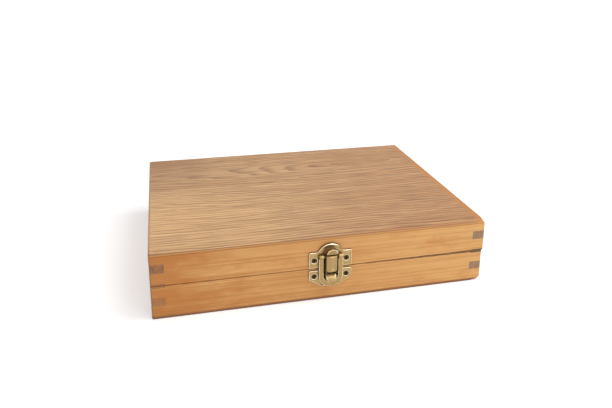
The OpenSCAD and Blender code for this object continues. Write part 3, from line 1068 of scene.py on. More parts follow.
@dataclass
class Carcass:
    """Boards and panels of base and lid, with softened rims and flush finger joints."""

    rim_rounding: float = 0.28
    panel_rounding: float = 0.9
    foot_rounding: float = 0.7
    corner: float = 1.6
    wear_reach: float = 3.0
    wear_depth: float = 1.6
    outline_step: float = 3.0
    tolerance: float = 0.02
    window_up: float = 12.6
    base_rim: float = field(init=False)
    lid_rim: float = field(init=False)
    window: Triple = field(init=False)

    def __post_init__(self) -> None:
        """Reads the two rims' heights and the catch's middle from the frame."""
        self.base_rim = float(high_corner("base_front_board")[2])
        self.lid_rim = float(low_corner("lid_front_board")[2])
        middle = float(low_corner("catch_ring")[0] + high_corner("catch_ring")[0]) / 2
        self.window = (middle, float(low_corner("lid_front_board")[1]), self.base_rim + self.window_up)

    def build(self) -> None:
        """Makes every board and both panels."""
        sides = {"front": Grain.ALONG_X, "back": Grain.ALONG_X, "left": Grain.ALONG_Y,
                 "right": Grain.ALONG_Y}
        ends = {"left": ((174, 124, 80), (124, 80, 48)), "right": ((168, 134, 100), (132, 100, 72))}
        for number, (side, grain) in enumerate(sides.items()):
            end_pale, end_deep = ends.get(side, ends["right"])
            window = self.window if side == "front" else None
            wood = BoardWood(f"board_{side}", grain, (number * 61.0 + 7.0, number * 23.0, 3.0),
                             end_pale=end_pale, end_deep=end_deep, window=window,
                             low_end_varnish=0.4 if side == "left" else 0.0,
                             seam_z=(self.base_rim + self.lid_rim) / 2).material()
            self.board("base", side, self.base_rim, wood, Body.BASE)
            self.board("lid", side, self.lid_rim, wood, Body.LID)
        top_low, top = low_corner("lid_top_panel").tolist(), high_corner("lid_top_panel").tolist()
        foot_high = high_corner("base_bottom_panel").tolist()
        foot = low_corner("base_bottom_panel").tolist()
        lid_veneer = Veneer("veneer_lid", (11.0, 5.0, 0.0), half_size=(top[0], top[1]),
                            edge_z=(top_low[2], top[2]))
        # Darker towards the floor: a ply line, deepened as painted contact shadow.
        foot_side = ((0.0, (196, 132, 72)), (0.35, (160, 108, 64)), (0.6, (122, 84, 56)))
        base_veneer = Veneer("veneer_base", (71.0, 45.0, 9.0), arch_at=(-60.0, -20.0), side=foot_side,
                             half_size=(-foot[0], -foot[1]), edge_z=(foot_high[2], foot[2]))
        self.panel("lid_top_panel", self.panel_rounding, True, lid_veneer, Body.LID)
        self.panel("base_bottom_panel", self.foot_rounding, False, base_veneer, Body.BASE)

    def board(self, part: str, side: str, rim: float, wood: bpy.types.Material, body: Body) -> None:
        """Makes one board.

        Args:
            part: base or lid.
            side: front, back, left or right.
            rim: Height of its rim at the seam.
            wood: Its finish.
            body: The body it rides on.
        """
        node = f"{part}_{side}_board"
        piece = softened_copy(node, f"{part}_{side}_wood", self.rim_rounding,
                              lambda middle: abs(middle.z - rim) < self.tolerance)
        Role(body, Slot.BOARD, node).give(piece, wood)

    def panel(self, node: str, rounding: float, up: bool, veneer: Veneer, body: Body) -> None:
        """Makes one panel as a sheet with round corners, whose outer edge is rounded over.

        The right front corner is worn: points near it are drawn in and back, the more the nearer
        they are to the corner and to the outer face.

        Args:
            node: The panel's node.
            rounding: Radius of its outer edge.
            up: Whether its outer face looks up.
            veneer: Its finish.
            body: The body it rides on.
        """
        low, high = low_corner(node).tolist(), high_corner(node).tolist()
        corner = self.corner
        plan = rounded([(high[0], low[1], corner), (high[0], high[1], corner), (low[0], high[1], corner),
                        (low[0], low[1], corner)], 10)
        thick = high[2] - low[2]

        def weathered(points: np.ndarray) -> np.ndarray:
            """Draws the points near the worn corner in and back.

            Args:
                points: The sheet's points, with its back on Z = 0.

            Returns:
                As many points.
            """
            gap = (points[:, 0] - high[0]) ** 2 + (points[:, 1] - low[1]) ** 2
            share = np.exp(-gap / (2 * self.wear_reach ** 2)) * (points[:, 2] / thick)
            return points + share[:, None] * np.array([-0.7, 0.7, -0.55]) * self.wear_depth

        sheet = pressed_sheet(with_extra(plan, self.outline_step), [], Edge.soft(thick, rounding))
        piece = sheet.mapped(weathered).lying(low[2], high[2], up).mesh(f"{node}_wood")
        Role(body, Slot.PANEL, node).give(piece, veneer.material())


@dataclass
class Interior:
    """Felt linings, dividers and tube cradles inside the case."""

    edge: float = 0.5
    foot: float = 1.0
    felt_step: float = 3.0
    felt_wave: float = 0.12

    def build(self) -> None:
        """Makes the linings and the wooden fittings."""
        felt = Felt("green_felt").material()
        self.lining("base_lining", "base_felt", Body.BASE, felt, False)
        self.lining("lid_lining", "lid_felt", Body.LID, felt, True)
        plain = {"pale": (236, 202, 154), "mid": (222, 182, 130), "deep": (200, 156, 104),
                 "end_pale": (206, 168, 122)}
        across = BoardWood("divider_wood_x", Grain.ALONG_X, (40.0, 9.0, 31.0), **plain).material()
        along = BoardWood("divider_wood_y", Grain.ALONG_Y, (15.0, 77.0, 12.0), **plain).material()
        woods = {"long_divider": across, "left_cross_divider": along, "right_cross_divider": along,
                 "left_tube_cradle": along, "right_tube_cradle": along}
        for node, wood in woods.items():
            above = low_corner(node)[2] + self.foot
            piece = softened_copy(node, f"{node}_wood", self.edge, lambda middle: middle.z > above)
            Role(Body.BASE, Slot.FITTING, node).give(piece, wood)

    def lining(
        self, node: str, name: str, body: Body, felt: bpy.types.Material, hangs: bool
    ) -> None:
        """Makes one felt lining as a mat with a rounded rim.

        Args:
            node: The lining's node.
            name: The piece's name.
            body: The body it rides on.
            felt: Its finish.
            hangs: Whether its nap looks down.
        """
        low, high = low_corner(node), high_corner(node)
        size = high - low
        mat = slab(size[0], size[1], size[2], self.felt_step, self.felt_wave)
        centre = (low + high) / 2
        if hangs:
            mat = mat.mapped(lambda p: p * (1, -1, -1) + (centre[0], centre[1], high[2]))
        else:
            mat = mat.mapped(lambda p: p + (centre[0], centre[1], low[2]))
        piece = Role(body, Slot.FELT, node).give(mat.mesh(name), felt)


@dataclass
class Screw:
    """Countersunk wood screw with a crossed recess, its head's face on Z = 0."""

    head: float
    shank: float
    length: float
    head_depth: float = 1.0
    arm_width: float = 0.55
    arm_reach: float = 0.62
    recess: float = 0.7
    count: int = 64

    def surface(self, turn: float) -> Surface:
        """Head, cone and shank turned round Z, with the face sunk along two crossed arms.

        The face at radius r and angle a lies at a slight dome minus the recess depth wherever the
        nearer of its two turned coordinates is under half the arm's width, eased over a small step.

        Args:
            turn: Angle of the recess in degrees.

        Returns:
            A closed surface.
        """
        angle = np.linspace(0, 2 * math.pi, self.count, endpoint=False)
        rings = np.linspace(0.02, 0.97, 16) * self.head
        radius, bearing = np.meshgrid(rings, angle, indexing="ij")
        x = radius * np.cos(bearing)
        y = radius * np.sin(bearing)
        side = math.radians(turn)
        first = np.abs(x * math.cos(side) + y * math.sin(side))
        second = np.abs(y * math.cos(side) - x * math.sin(side))
        outward = np.maximum(first, second)
        inside = np.clip((self.arm_width / 2 + 0.1 - np.minimum(first, second)) / 0.2, 0, 1)
        sunk = inside * np.clip((self.arm_reach * self.head - outward) / 0.2, 0, 1)
        taper = np.clip(1 - 0.75 * outward / self.head, 0, 1)
        dome = -0.10 * (radius / self.head) ** 2
        face = np.stack([x, y, dome - self.recess * sunk * taper], -1)
        steps = np.array([(-0.16, self.head), (-self.head_depth, self.shank),
                          (-self.length * 0.8, self.shank), (-self.length, 0.02 * self.head)])
        body = revolved(steps, self.count)
        # Rim brighter for polish and painted highlight, cross recess darker as painted shade.
        polish_and_light = 0.45 + 0.35 * np.clip((radius / self.head - 0.80) / 0.15, 0, 1) - 0.7 * sunk
        wear_and_light = np.vstack([np.full((len(steps), self.count), 0.1), polish_and_light[::-1]])
        return grid(np.concatenate([body[::-1], face[::-1]], 0), wrap=True, caps=True, wear_and_light=wear_and_light)


@dataclass
class Hinges:
    """Two five-knuckle butt hinges let into the back boards."""

    knuckle_gap: float = 0.2
    knuckles: int = 5
    screw_x: float = 10.0
    screw_head: float = 1.9
    screw_shank: float = 0.9
    screw_length: float = 8.0
    pin_play: float = 0.05
    leaf_gap: float = 0.1
    leaf_thickness: float = 1.0
    corner: float = 0.8
    lip: float = 0.22
    dome: float = 0.45

    def build(self) -> None:
        """Makes both hinges and their screws."""
        brass = Brass("hinge_brass", seed=(31.0, 8.0, 4.0), polish=0.3).material()
        dark = Brass("screw_brass", bright=(196, 168, 114), aged=(124, 98, 58), green=(112, 92, 48),
                     polish=0.34).material()
        for side in ("left", "right"):
            self.leaf(f"{side}_hinge_base_leaf", side, 0, Body.BASE, brass)
            self.leaf(f"{side}_hinge_lid_leaf", side, 1, Body.LID, brass)
            self.pin(side, dark)
        self.screws("hinge_base_screws", Body.BASE, dark, up=True)
        self.screws("hinge_lid_screws", Body.LID, dark, up=False)

    def axis(self, side: str) -> np.ndarray:
        """Middle of a hinge on its axis, which is its pin's middle."""
        return (low_corner(f"{side}_hinge_pin") + high_corner(f"{side}_hinge_pin")) / 2

    def leaf(self, node: str, side: str, first: int, body: Body, brass: bpy.types.Material) -> None:
        """Makes one leaf: a sheet with tabs and a barrel at the end of every second tab.

        Args:
            node: The leaf's node.
            side: left or right.
            first: Number of its first knuckle.
            body: The body it rides on.
            brass: Its finish.
        """
        low, high = low_corner(node), high_corner(node)
        other = f"{side}_hinge_base_leaf"
        left, right = low_corner(other)[0], high_corner(other)[0]
        axis = self.axis(side)
        radius = high[1] - axis[1]
        bore = (high_corner(f"{side}_hinge_pin")[2] - axis[2]) + self.pin_play
        front, back = low[1], axis[1]
        root = high_corner("base_back_board")[1]
        length = (right - left - (self.knuckles - 1) * self.knuckle_gap) / self.knuckles
        starts = [left + k * (length + self.knuckle_gap) for k in range(first, self.knuckles, 2)]
        up = body is Body.BASE
        near, far = self.leaf_gap, self.leaf_gap + self.leaf_thickness
        sheet_low, sheet_high = (axis[2] - far, axis[2] - near) if up else (axis[2] + near, axis[2] + far)
        corners: list[Triple] = [(left, front, self.corner), (right, front, self.corner)]
        if first:
            corners.append((right, root, 0.2))
        for start in reversed(starts):
            if start + length < right - self.knuckle_gap / 2:
                corners.append((start + length, root, 0.05))
            corners.append((start + length, back, 0.05))
            corners.append((start, back, 0.05))
            if start > left + self.knuckle_gap / 2:
                corners.append((start, root, 0.05))
        if first:
            corners.append((left, root, 0.2))
        middle = (left + right) / 2
        screw_y = (front + root) / 2
        holes = [hole(middle + x, screw_y, self.screw_head + 0.05, 32)
                 for x in (-self.screw_x, self.screw_x)]
        sheet = pressed_sheet(rounded(corners, 3), holes, Edge.soft(sheet_high - sheet_low, 0.15))
        sheet = sheet.lying(sheet_low, sheet_high, up)
        knuckle = barrel(length, radius, bore, self.lip, 48)
        for start in starts:
            sheet += knuckle.along_x(start, axis[1], axis[2])
        Role(body, Slot.BRASS, node).give(sheet.mesh(f"{side}_{body.value}_hinge_leaf"), brass)

    def pin(self, side: str, dark: bpy.types.Material) -> None:
        """Makes a hinge pin with domed ends.

        Args:
            side: left or right.
            dark: Its finish.
        """
        node = f"{side}_hinge_pin"
        low, high = low_corner(node), high_corner(node)
        axis = self.axis(side)
        radius = high[2] - axis[2]
        turn = np.radians(np.linspace(4, 90, 6))
        end = [(self.dome * (1 - math.cos(t)), radius * math.sin(t)) for t in turn]
        full = end + [(high[0] - low[0] - rise, reach) for rise, reach in reversed(end)]
        rod = turned(full, 36).along_x(low[0], axis[1], axis[2])
        Role(Body.BASE, Slot.DARK_BRASS, node).give(rod.mesh(f"{side}_pin_rod"), dark)

    def screws(self, node: str, body: Body, dark: bpy.types.Material, up: bool) -> None:
        """Makes the four screws of both hinges' leaves on one body.

        Args:
            node: The screws' node.
            body: The body they ride on.
            dark: Their finish.
            up: Whether their heads look up.
        """
        screw = Screw(self.screw_head, self.screw_shank, self.screw_length, count=40)
        level = high_corner(node)[2] if up else low_corner(node)[2]
        y = (low_corner(node)[1] + high_corner(node)[1]) / 2
        way = (1, 1, 1) if up else (1, -1, -1)
        heads = []
        for number, side in enumerate(("left", "right")):
            for x in (-self.screw_x, self.screw_x):
                centre = (self.axis(side)[0] + x, y, level)
                heads.append(screw.surface(20 + 35 * number + 4 * x).mapped(lambda p: p * way + centre))
        Role(body, Slot.DARK_BRASS, node).give(reduce(add, heads).mesh(f"{node}_set"), dark)


@dataclass
class DrawCatch:
    """Draw catch on the front: two pressed plates, a crowned lever and a U-shaped ring.

    Its own axes are X to the right, Y up from the seam and Z outwards from the front face.
    """

    plate: float = 1.0
    half_width: float = 16.0
    upper_ear: tuple[float, float] = (1.2, 13.4)
    lower_ear: tuple[float, float] = (-7.8, -1.0)
    arch_y: float = 9.2
    arch_r: float = 10.5
    hollow_r: float = 3.0
    window_y: float = 10.4
    window_r: float = 6.2
    sill_y: float = 9.0
    point: tuple[float, float] = (6.0, -13.8)
    screw_x: float = 12.05
    upper_screw_y: float = 7.1
    lower_screw_y: float = -5.6
    screw_head: float = 2.1
    screw_shank: float = 1.1
    screw_length: float = 9.0
    lever_axis: tuple[float, float] = (-0.7, 3.6)
    ring_axis: tuple[float, float] = (10.3, 2.9)
    lever_half: float = 4.3
    lever_wall: float = 0.75
    crest: float = 6.2
    crease_y: float = 12.0
    tip: tuple[float, float] = (18.2, 8.2)
    scoop: float = 0.7
    # Top of the painted shade on the plates, above the seam.
    covered_shade_top: float = 14.5
    ring_half: float = 9.0
    ring_inner: float = 5.4
    ring_arch_y: float = -5.0
    ring_window_y: float = -4.5
    ring_back: float = 1.8
    ring_thickness: float = 1.4
    eye_r: float = 1.5
    hook_half: float = 4.0
    hook_y: tuple[float, float] = (-9.4, -3.0)
    hook_out: float = 4.6
    origin: np.ndarray = field(init=False)

    def __post_init__(self) -> None:
        """Reads where the catch sits: its plate's middle, the front face and the seam."""
        low, high = low_corner("catch_lower_plate"), high_corner("catch_lower_plate")
        face = low_corner("base_front_board")[1]
        seam = high_corner("base_front_board")[2]
        self.origin = np.array([(low[0] + high[0]) / 2, face, seam])

    def on_front(self, points: np.ndarray) -> np.ndarray:
        """The catch's own X, Y and Z become the case's X, Z and -Y."""
        return np.stack([points[:, 0], -points[:, 2], points[:, 1]], 1) + self.origin

    def across(self, points: np.ndarray, start: float) -> np.ndarray:
        """Points drawn as outwards, up and along a pin, in the catch's axes leftwards from a start."""
        return np.stack([start - points[:, 2], points[:, 1], points[:, 0]], 1)

    def cheek_pair(self, cheek: Surface, light_share: float, starts: tuple[float, float]) -> Surface:
        """Sets one flat cheek at two places along a pin.

        Args:
            cheek: The cheek, drawn as outwards and up.
            light_share: What its wear value is multiplied by; below 1 it paints shade on the cheek.
            starts: Where each copy's face lies along X.

        Returns:
            Both cheeks.
        """
        # A share below 1 paints shade on the cheeks.
        cheek.wear_and_light *= light_share
        left, right = (cheek.mapped(lambda p: self.across(p, start)) for start in starts)
        return left + right

    def build(self) -> None:
        """Makes the catch's pieces."""
        # Painted shade on the plates under the lever and ring.
        patch = CoveredShade(float(self.origin[0]), float(self.origin[1]),
                        float(self.origin[2]) + self.covered_shade_top)
        plates = Brass("plate_brass", seed=(5.0, 2.0, 9.0), covered_shade=patch).material()
        moving = Brass("lever_brass", aged=(168, 138, 94), green=(158, 134, 80), polish=0.2,
                       seed=(17.0, 40.0, 3.0)).material()
        dark = Brass("catch_screw_brass", bright=(206, 186, 128), aged=(92, 70, 36), green=(84, 66, 30),
                     patina_and_shade=(38, 24, 10), polish=0.3).material()
        upper = self.upper_plate() + self.lugs()
        lower = self.lower_plate() + self.hook()
        for shape, name, node, body, brass in (
            (upper, "catch_upper_pressing", "catch_upper_plate", Body.LID, plates),
            (lower, "catch_lower_pressing", "catch_lower_plate", Body.BASE, plates),
            (self.lever(), "catch_lever_pressing", "catch_lever", Body.LEVER, moving),
            (self.ring(), "catch_ring_bow", "catch_ring", Body.RING, moving),
        ):
            self.fit(shape, name, Role(body, Slot.BRASS, node), brass)
        self.screws("catch_upper_screws", self.upper_screw_y, Body.LID, dark)
        self.screws("catch_lower_screws", self.lower_screw_y, Body.BASE, dark)
        self.pin("catch_lever_pin", self.lever_axis, dark)
        self.pin("catch_ring_pin", self.ring_axis, dark)

    def fit(self, shape: Surface, name: str, role: Role, finish: bpy.types.Material) -> None:
        """Puts a shape drawn in the catch's own axes on the front of the case."""
        role.give(shape.mapped(self.on_front).mesh(name), finish)

    def screw_holes(self, y: float) -> list[np.ndarray]:
        """Clockwise outlines of the two screws' holes at a height."""
        return [hole(x, y, self.screw_head + 0.06, 40) for x in (-self.screw_x, self.screw_x)]

    def beaded_edge(self) -> Edge:
        """Edge of a plate: a rounded bead with a darker groove inside it, then the flat face.

        Returns:
            The edge.
        """
        turn = np.radians(np.linspace(0, 90, 4))
        round_r = 0.3
        insets = [0.1, 0.0, *(round_r * (1 - np.cos(turn))).tolist(), 0.40, 0.52, 0.62, 0.74, 0.84]
        heights = [0.0, 0.1, *(self.plate - round_r * (1 - np.sin(turn))).tolist(), *(self.plate,) * 5]
        # Painted shade on the outer wall and a painted highlight on the bead's crest beside its polish; the
        # groove inside is darker.
        wear_and_light = (0.0, 0.0, 0.1, 0.45, 0.9, 1.0, 0.85, 0.4, 0.12, 0.32, 0.5)
        beads = [0.0, 0.0, *(0.75 * np.sin(turn)).tolist(), 1.0, 0.8, 0.2, -0.2, 0.0]
        return Edge(tuple(insets), tuple(heights), wear_and_light, tuple(beads))

    def upper_plate(self) -> Surface:
        """Two ears joined by an arch, with hollow curves between and a window behind the lever's tip.

        The outline is straight sides, corner arcs, and arcs that touch the ears' tops and the arch.
        The bead along the edge is highest over the arch.

        Returns:
            The pressing.
        """
        low, high = self.upper_ear
        corner = 0.9
        up = high + self.hollow_r - self.arch_y
        reach = math.sqrt((self.arch_r + self.hollow_r) ** 2 - up ** 2)
        lean = math.degrees(math.atan2(up, reach))
        right = np.vstack([
            arc((self.half_width - corner, low + corner), corner, -90, 0, 7),
            arc((self.half_width - corner, high - corner), corner, 0, 90, 7),
            arc((reach, high + self.hollow_r), self.hollow_r, -90, -180 + lean, 9),
        ])
        arch = arc((0, self.arch_y), self.arch_r, lean, 180 - lean, 49)[1:-1]
        left = (right * (-1, 1))[::-1]
        outline = np.vstack([right, arch, left])
        rise = np.clip((outline[:, 1] - high - 0.4) / 2.5, 0, 1)
        crest = 0.14 + 0.9 * rise * rise * (3 - 2 * rise)
        start = math.degrees(math.asin((self.sill_y - self.window_y) / self.window_r))
        window = arc((0, self.window_y), self.window_r, start, 180 - start, 41)[::-1]
        return pressed_sheet(outline, [*self.screw_holes(self.upper_screw_y), window],
                             self.beaded_edge(), crest)

    def lower_plate(self) -> Surface:
        """Two ears that run down to a blunt point, with a low bead along the edge.

        Returns:
            The pressing.
        """
        low, high = self.lower_ear
        wide, foot = self.half_width, self.point
        outline = rounded([(wide, high, 0.9), (-wide, high, 0.9), (-wide, low - 0.3, 0.9),
                           (-foot[0], foot[1], 1.5), (foot[0], foot[1], 1.5), (wide, low - 0.3, 0.9)], 7)
        return pressed_sheet(outline, self.screw_holes(self.lower_screw_y), self.beaded_edge(),
                             np.full(len(outline), 0.12))

    def lugs(self) -> Surface:
        """Two cheeks bent out of the upper plate, bored for the lever's pin.

        Each is a flat outline in outwards and up, as thick as the plate, set along X.

        Returns:
            Both cheeks.
        """
        up, out = self.lever_axis
        outline = np.vstack([arc((out, up), 1.1, -135, 50, 16), [(0.9, 3.8), (0.9, 1.3)]])
        cheek = pressed_sheet(outline, [hole(out, up, 0.66, 24)], Edge.soft(0.9, 0.15))
        return self.cheek_pair(cheek, 0.3, (-2.0, 2.9))

    def hook(self) -> Surface:
        """Tongue bent out of the lower plate: a strip along a curve, its end cut to a half circle.

        The strip's middle line rises outwards from the plate and turns down. At each step a closed
        rounded section, as wide as the half circle allows there, is set square to the line.

        Returns:
            The tongue.
        """
        bottom, top = self.hook_y
        thick = 1.0
        crown_out = self.hook_out - 0.5
        knots = np.array([(top + 0.1, 0.6), (top - 0.9, 1.7), (top - 1.9, 3.0),
                          (top - 2.9, crown_out - 0.22), (top - 3.7, crown_out),
                          (bottom + 1.4, crown_out), (bottom + 0.08, crown_out - 0.12)])
        share = np.linspace(0, len(knots) - 1, 45)
        line = np.stack([np.interp(share, np.arange(len(knots)), knots[:, k]) for k in (0, 1)], 1)
        blur = np.array([0.25, 0.5, 0.25])
        for _ in range(4):
            inner = np.stack([np.convolve(line[:, k], blur, "same") for k in (0, 1)], 1)
            line[1:-1] = inner[1:-1]
        heading = np.gradient(line, axis=0)
        heading /= np.linalg.norm(heading, axis=1, keepdims=True)
        normal = np.stack([heading[:, 1], -heading[:, 0]], 1)
        centre_y = bottom + self.hook_half
        drop = np.clip((centre_y - line[:, 0]) / self.hook_half, 0, 0.999)
        half = self.hook_half * np.sqrt(1 - drop ** 2)
        angle = np.linspace(0, 2 * math.pi, 40, endpoint=False)
        blunt = 0.35
        side = np.sign(np.cos(angle)) * np.abs(np.cos(angle)) ** blunt
        rise = np.sign(np.sin(angle)) * np.abs(np.sin(angle)) ** blunt
        crown = 0.35 * (1 - side ** 2)
        x = half[:, None] * side
        lift = (thick / 2) * rise + crown * np.clip(half[:, None] / self.hook_half, 0, 1)
        y = line[:, 0, None] + normal[:, 0, None] * lift
        z = line[:, 1, None] + normal[:, 1, None] * lift
        # Painted shade at the root under the lever; painted highlights on the front and its edges.
        front = np.clip(rise, 0, 1)
        root = np.clip((top - 0.8 - line[:, 0]) / 1.2, 0, 1)[:, None]
        wear_and_light = (0.15 + 0.45 * front) * root + 0.35 * front * np.abs(side) ** 4
        return grid(np.stack([x, y, z], -1)[::-1], wrap=True, caps=True, wear_and_light=wear_and_light[::-1])

    def lever(self) -> Surface:
        """Crowned channel with a flared, scooped finger tip, and two cheeks that hold the pins.

        A section across the lever, from edge to edge over the crown, is carried up the lever. Its
        width, its height above the plate and how far it bulges or hollows change along the way.

        Returns:
            The lever with its cheeks.
        """
        up = np.concatenate([np.linspace(-0.9, 0.3, 6), np.linspace(0.8, self.crease_y - 1.1, 20),
                             np.linspace(self.crease_y - 0.9, self.crease_y + 1.6, 14),
                             np.linspace(self.crease_y + 2.0, self.tip[0] - 0.02, 20)])
        spots = [-0.9, -0.6, 0.2, 6.0, *(self.crease_y + np.array([-1.2, -0.5, 0.1, 0.7, 1.6, 3.6])),
                 self.tip[0]]
        outs = [5.55, 5.95, self.crest, self.crest, self.crest - 0.05, self.crest - 0.35,
                self.crest - 1.05, self.crest - 0.65, self.crest + 0.1, self.crest + 0.8,
                self.tip[1] - self.scoop]
        high = np.interp(up, spots, outs)
        half = self.lever_half - 0.2 * np.clip(up - self.crease_y, 0, 1)
        round_y = self.tip[0] - 3.4
        over = np.clip((up - round_y) / (self.tip[0] - round_y), 0, 1)
        half = half * np.sqrt(np.clip(1 - over ** 1.8, 0.0005, 1))
        bulge_at = [-0.9, self.crease_y - 1, self.crease_y + 0.3, self.crease_y + 2, self.tip[0]]
        bulge = np.interp(up, bulge_at, [1.05, 1.05, 0.5, -0.45, -self.scoop])
        share = np.linspace(-1, 1, 31)
        lap = np.sign(share) * np.abs(share) ** 0.85
        x = half[:, None] * lap
        fall = 0.9 * np.clip((np.abs(lap) - 0.86) / 0.14, 0, 1) ** 2
        fall = fall * np.interp(up, [-0.9, self.crease_y - 0.5, self.crease_y + 0.8], [1, 1, 0.25])[:, None]
        z = high[:, None] - bulge[:, None] * lap ** 2 - fall
        y = np.broadcast_to(up[:, None], x.shape)
        outer = np.stack([x, y, z], -1)
        wall = self.lever_wall
        tilt = np.gradient(z, axis=1) / np.maximum(np.gradient(x, axis=1), 1e-4)
        lean = np.clip(tilt, -1.2, 1.2)
        size = np.sqrt(1 + lean ** 2)
        inner = np.stack([x + lean / size * wall * 0.6, y, z - wall / size], -1)
        inner[:, :, 0] = np.clip(inner[:, :, 0], -np.abs(x).max(1)[:, None], np.abs(x).max(1)[:, None])
        section = np.concatenate([outer, inner[:, ::-1]], 1)
        # Painted light on the lever beside its polish: shade in the crease, on the sides and inside,
        # highlights along the crown's middle and the tip's rim.
        crease = np.exp(-((up - self.crease_y - 0.15) / 0.42) ** 2)[:, None]
        flare = np.clip((up - self.crease_y - 0.8) / 1.2, 0, 1)[:, None]
        rim = np.clip((np.hypot(x, np.maximum(y - round_y, 0) * 1.25) - 2.2) / 1.3, 0, 1)
        body = 0.5 + 0.12 * (1 - lap ** 2) - 0.35 * np.clip((np.abs(lap) - 0.8) / 0.2, 0, 1)
        face = body * (1 - flare) + (0.34 + 0.5 * rim) * flare - 0.9 * crease
        wear_and_light = np.concatenate([face, np.full_like(face, 0.05)], 1)
        shell = grid(section[::-1], wrap=True, caps=True, wear_and_light=wear_and_light[::-1])
        return shell + self.cheeks()

    def cheeks(self) -> Surface:
        """Sides of the lever: flat outlines from the lever pin's disc up past the ring's pin.

        Returns:
            Both cheeks.
        """
        up, out = self.lever_axis
        front, back = self.crest - 1.7, 1.5
        top = self.crease_y - 0.2
        side = rounded([(front, 1.6, 0.2), (front, top, 0.5), (2.2, top, 0.8), (back, top - 1.2, 0.8)], 4)
        outline = np.vstack([arc((out, up), out - 1.5, -170, 20, 22), side, [(back, up)]])
        bores = [hole(axis[1], axis[0], radius, 24)
                 for axis, radius in ((self.lever_axis, 0.62), (self.ring_axis, 0.72))]
        cheek = pressed_sheet(outline, bores, Edge.soft(self.lever_wall, 0.12))
        edge = self.lever_half - 0.03
        return self.cheek_pair(cheek, 0.4, (self.lever_wall - edge, edge))

    def ring(self) -> Surface:
        """Open-topped bow: a U outline with soft edges, bent back a little at its foot, and two eyes.

        Returns:
            The ring.
        """
        up, out = self.ring_axis
        outer = arc((0, self.ring_arch_y), self.ring_half, 180, 360, 61)
        inner = arc((0, self.ring_window_y), self.ring_inner, 360, 180, 49)
        ends = 15
        rise = np.linspace(self.ring_arch_y, up, ends + 1)[1:]
        fall = np.linspace(up, self.ring_window_y, ends + 1)[:-1]
        right_up = np.stack([np.full(ends, self.ring_half), rise], 1)
        right_down = np.stack([np.full(ends, self.ring_inner), fall], 1)
        left_up = (right_down * (-1, 1))[::-1]
        left_down = (right_up * (-1, 1))[::-1]
        outline = np.vstack([outer, right_up, right_down, inner, left_up, left_down])
        bow = pressed_sheet(outline, [], Edge.soft(self.ring_thickness, 0.38, self.ring_back))
        bow = bow.mapped(self.bent_ring)
        eye = barrel(self.ring_half - self.ring_inner, self.eye_r, 0.76, 0.3, 36)
        return bow + eye.along_x(-self.ring_half, up, out) + eye.along_x(self.ring_inner, up, out)

    def bent_ring(self, points: np.ndarray) -> np.ndarray:
        """Leans the bow's foot back towards the plate, the more the lower it is.

        Args:
            points: The bow's points.

        Returns:
            As many points, bent.
        """
        below = np.clip((self.ring_arch_y + 0.5 - points[:, 1]) / self.ring_half, 0, 1)
        bent = points.copy()
        bent[:, 2] -= 0.55 * below
        return bent

    def screws(self, node: str, y: float, body: Body, dark: bpy.types.Material) -> None:
        """Makes the two screws of one plate.

        Args:
            node: The screws' node.
            y: Their height in the catch's axes.
            body: The body they ride on.
            dark: Their finish.
        """
        screw = Screw(self.screw_head, self.screw_shank, self.screw_length)
        left = screw.surface(18).mapped(lambda p: p + (-self.screw_x, y, self.plate))
        right = screw.surface(52).mapped(lambda p: p + (self.screw_x, y, self.plate))
        self.fit(left + right, f"{node}_pair", Role(body, Slot.DARK_BRASS, node), dark)

    def pin(self, node: str, axis: tuple[float, float], dark: bpy.types.Material) -> None:
        """Makes a cross pin with slightly rounded ends.

        Args:
            node: The pin's node.
            axis: How far up and out it lies in the catch's axes.
            dark: Its finish.
        """
        low, high = low_corner(node), high_corner(node)
        half = (high[0] - low[0]) / 2
        radius = (high[2] - low[2]) / 2
        end = [(half, radius * 0.6), (half - 0.12, radius * 0.9), (half - 0.3, radius)]
        rod = turned([(-x, reach) for x, reach in end] + end[::-1], 28).along_x(0.0, axis[0], axis[1])
        self.fit(rod, f"{node}_rod", Role(Body.LEVER, Slot.DARK_BRASS, node), dark)


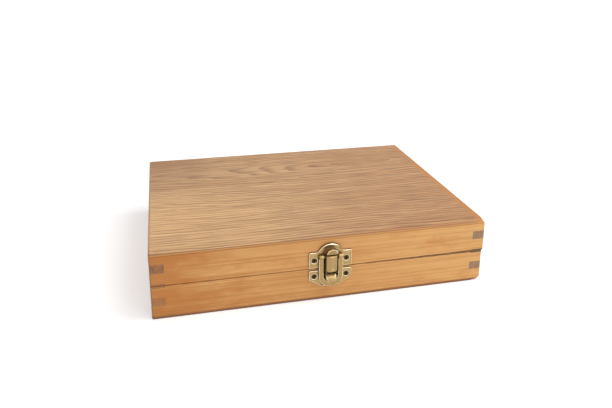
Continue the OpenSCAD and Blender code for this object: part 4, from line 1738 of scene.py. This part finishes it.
@dataclass(frozen=True)
class Studio:
    """Camera at the photograph's viewpoint, a white floor and soft lamps, the main one at the right."""

    eye: Triple = (-108.6, -482.6, 250.6)
    yaw: float = 13.39
    pitch: float = 16.0
    roll: float = -0.39
    focal_px: float = 617.2
    centre_px: tuple[float, float] = (306.0, 122.0)
    sensor: float = 36.0
    floor_size: float = 12.0
    floor_white: float = 0.80
    floor_glow: float = 0.43
    sky: float = 0.36

    def build(self) -> None:
        """Sets up the camera, floor, world and lamps."""
        self.camera()
        self.floor()
        self.world()
        self.lamp("key", (0.64, -0.12, 0.96), 0.95, 8.6)
        self.lamp("overhead", (-0.10, 0.10, 1.30), 1.2, 3.2)
        self.lamp("front", (0.44, -1.16, 0.50), 0.8, 5.0)
        bpy.context.scene.view_settings.view_transform = "Standard"

    def camera(self) -> None:
        """Places the camera: its right, up and back axes from yaw, pitch and roll."""
        yaw, pitch, roll = (math.radians(a) for a in (self.yaw, self.pitch, self.roll))
        ahead = np.array([math.sin(yaw) * math.cos(pitch), math.cos(yaw) * math.cos(pitch),
                          -math.sin(pitch)])
        level = np.array([math.cos(yaw), -math.sin(yaw), 0.0])
        down = np.cross(ahead, level)
        right = math.cos(roll) * level + math.sin(roll) * down
        below = math.cos(roll) * down - math.sin(roll) * level
        data = bpy.data.cameras.new("camera")
        data.sensor_width = self.sensor
        data.lens = self.focal_px / PHOTO_W * self.sensor
        data.shift_x = (PHOTO_W / 2 - self.centre_px[0]) / PHOTO_W
        data.shift_y = (self.centre_px[1] - PHOTO_H / 2) / PHOTO_W
        data.clip_start = 0.01
        turn = np.eye(4)
        turn[:3, 0], turn[:3, 1], turn[:3, 2] = right, -below, -ahead
        turn[:3, 3] = np.array(self.eye) * MM
        camera = placed("camera", data)
        camera.matrix_world = Matrix(turn.tolist())
        bpy.context.scene.camera = camera

    def lamp(self, name: str, at: Triple, size: float, power: float) -> None:
        """Adds a square soft lamp that looks at the case.

        Args:
            name: The lamp's name.
            at: Its place in metres.
            size: Length of its side in metres.
            power: Its power in watts.
        """
        data = bpy.data.lights.new(name, "AREA")
        data.size = size
        data.energy = power
        lamp = placed(name, data)
        lamp.location = at
        lamp.rotation_euler = (Vector((0.0, 0.0, 0.02)) - Vector(at)).to_track_quat("-Z", "Y").to_euler()

    def floor(self) -> None:
        """Makes a white floor that keeps the case's shadow, and is plain white further away."""
        half = self.floor_size / 2 / MM
        line = np.linspace(-half, half, 9)
        x, y = np.meshgrid(line, line)
        sheet = grid(np.stack([x, y, np.zeros_like(x)], -1)).mesh("floor")
        graph = Graph("floor_white")
        far = graph.add("VectorMath", {0: graph.add("TexCoord", {}, "Object")}, "Value", operation="LENGTH")
        glow = graph.seen() * graph.remap(far, 0.28, 0.75, self.floor_glow, 1.0, smooth=True)
        sheet.data.materials.append(graph.dress(
            Base_Color=(self.floor_white,) * 3 + (1.0,), Roughness=0.9, Specular_IOR_Level=0.0,
            Emission_Color=(1.0, 1.0, 1.0, 1.0), Emission_Strength=glow))

    def world(self) -> None:
        """Even pale light, plain white where the camera or a reflection sees it."""
        graph = Graph("studio", world=True)
        level = graph.remap(graph.seen(), 0.0, 1.0, self.sky, 1.0)
        bpy.context.scene.world = graph.dress(Color=(1.0, 1.0, 1.0, 1.0), Strength=level)


def main() -> None:
    """Builds the studio and each sub-assembly in order."""
    logging.basicConfig(level=logging.INFO, format="%(name)s: %(message)s")
    Studio().build()
    Carcass().build()
    Interior().build()
    Hinges().build()
    DrawCatch().build()


if __name__ == "__main__":
    main()
